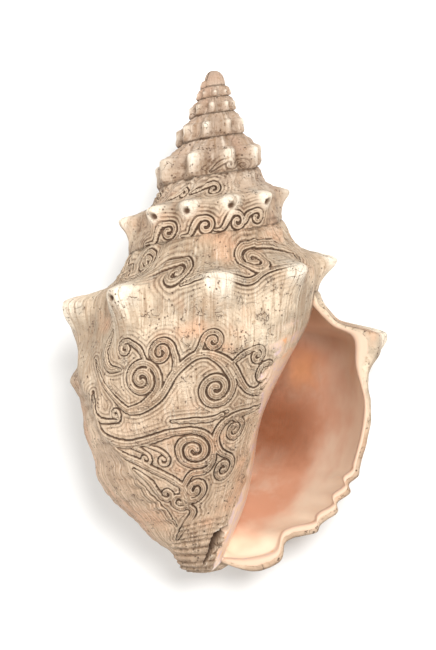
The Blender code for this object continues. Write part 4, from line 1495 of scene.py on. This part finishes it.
class CONCH_OT_stage(bpy.types.Operator):
    """Make the floor, the lights and the camera"""

    bl_idname = "conch.stage"
    bl_label = "Stage"

    def execute(self, context):
        stage = context.scene.conch_stage
        mesh = bpy.data.meshes.new("floor")
        corners = [(x * FLOOR_HALF, y * FLOOR_HALF, 0.0) for x, y in ((-1, -1), (1, -1), (1, 1), (-1, 1))]
        mesh.from_pydata(corners, [], [(0, 1, 2, 3)])
        mesh.materials.append(floor_paint(context.scene.conch_colours.floor))
        floor = bpy.data.objects.new("floor", mesh)
        context.scene.collection.objects.link(floor)

        centre = Vector(place_in_world(np.array([[VIEW_RIGHT, SHELL_LENGTH - VIEW_DROP, 0.0]]))[0] * MM)
        turn = Matrix(rest_turn().tolist())
        data = bpy.data.cameras.new("camera")
        data.lens = stage.lens
        camera = bpy.data.objects.new("camera", data)
        distance = stage.view_height * stage.lens / data.sensor_width
        camera.matrix_world = Matrix.Translation(centre + turn.col[2] * distance) @ turn.to_4x4()
        context.scene.collection.objects.link(camera)
        context.scene.camera = camera

        area_light("key", stage.key_power, KEY_SIZE, KEY_PLACE, centre)
        area_light("fill", stage.fill_power, FILL_SIZE, FILL_PLACE, centre)
        world = bpy.data.worlds.new("studio")
        world.use_nodes = True
        background = world.node_tree.nodes["Background"].inputs
        background[0].default_value, background[1].default_value = SKY_COLOUR, stage.sky
        context.scene.world = world
        context.scene.view_settings.view_transform = "Standard"
        return {"FINISHED"}


class CONCH_PT_panel(bpy.types.Panel):
    """Everything that makes the shell"""

    bl_label = "Conch"
    bl_idname = "CONCH_PT_panel"
    bl_space_type = "VIEW_3D"
    bl_region_type = "UI"
    bl_category = "Conch"

    def draw(self, context):
        for maker in MAKERS:
            self.layout.operator(maker.bl_idname)
        for group in (context.scene.conch_sizes, context.scene.conch_colours, context.scene.conch_stage):
            for key in group.bl_rna.properties.keys():
                if key not in ("rna_type", "name"):
                    self.layout.prop(group, key)


GROUPS = {"conch_sizes": ConchSizes, "conch_colours": ConchColours, "conch_stage": ConchStage}
MAKERS = (CONCH_OT_body_whorl, CONCH_OT_spire, CONCH_OT_stage)


def register():
    for group in GROUPS.values():
        bpy.utils.register_class(group)
    for key, group in GROUPS.items():
        setattr(bpy.types.Scene, key, bpy.props.PointerProperty(type=group))
    for maker in MAKERS + (CONCH_PT_panel,):
        bpy.utils.register_class(maker)


def unregister():
    for maker in (CONCH_PT_panel,) + MAKERS[::-1]:
        bpy.utils.unregister_class(maker)
    for key, group in GROUPS.items():
        delattr(bpy.types.Scene, key)
        bpy.utils.unregister_class(group)


def main():
    """Make everything."""
    register()
    bpy.ops.conch.body_whorl()
    bpy.ops.conch.spire()
    bpy.ops.conch.stage()


if __name__ == "__main__":
    main()
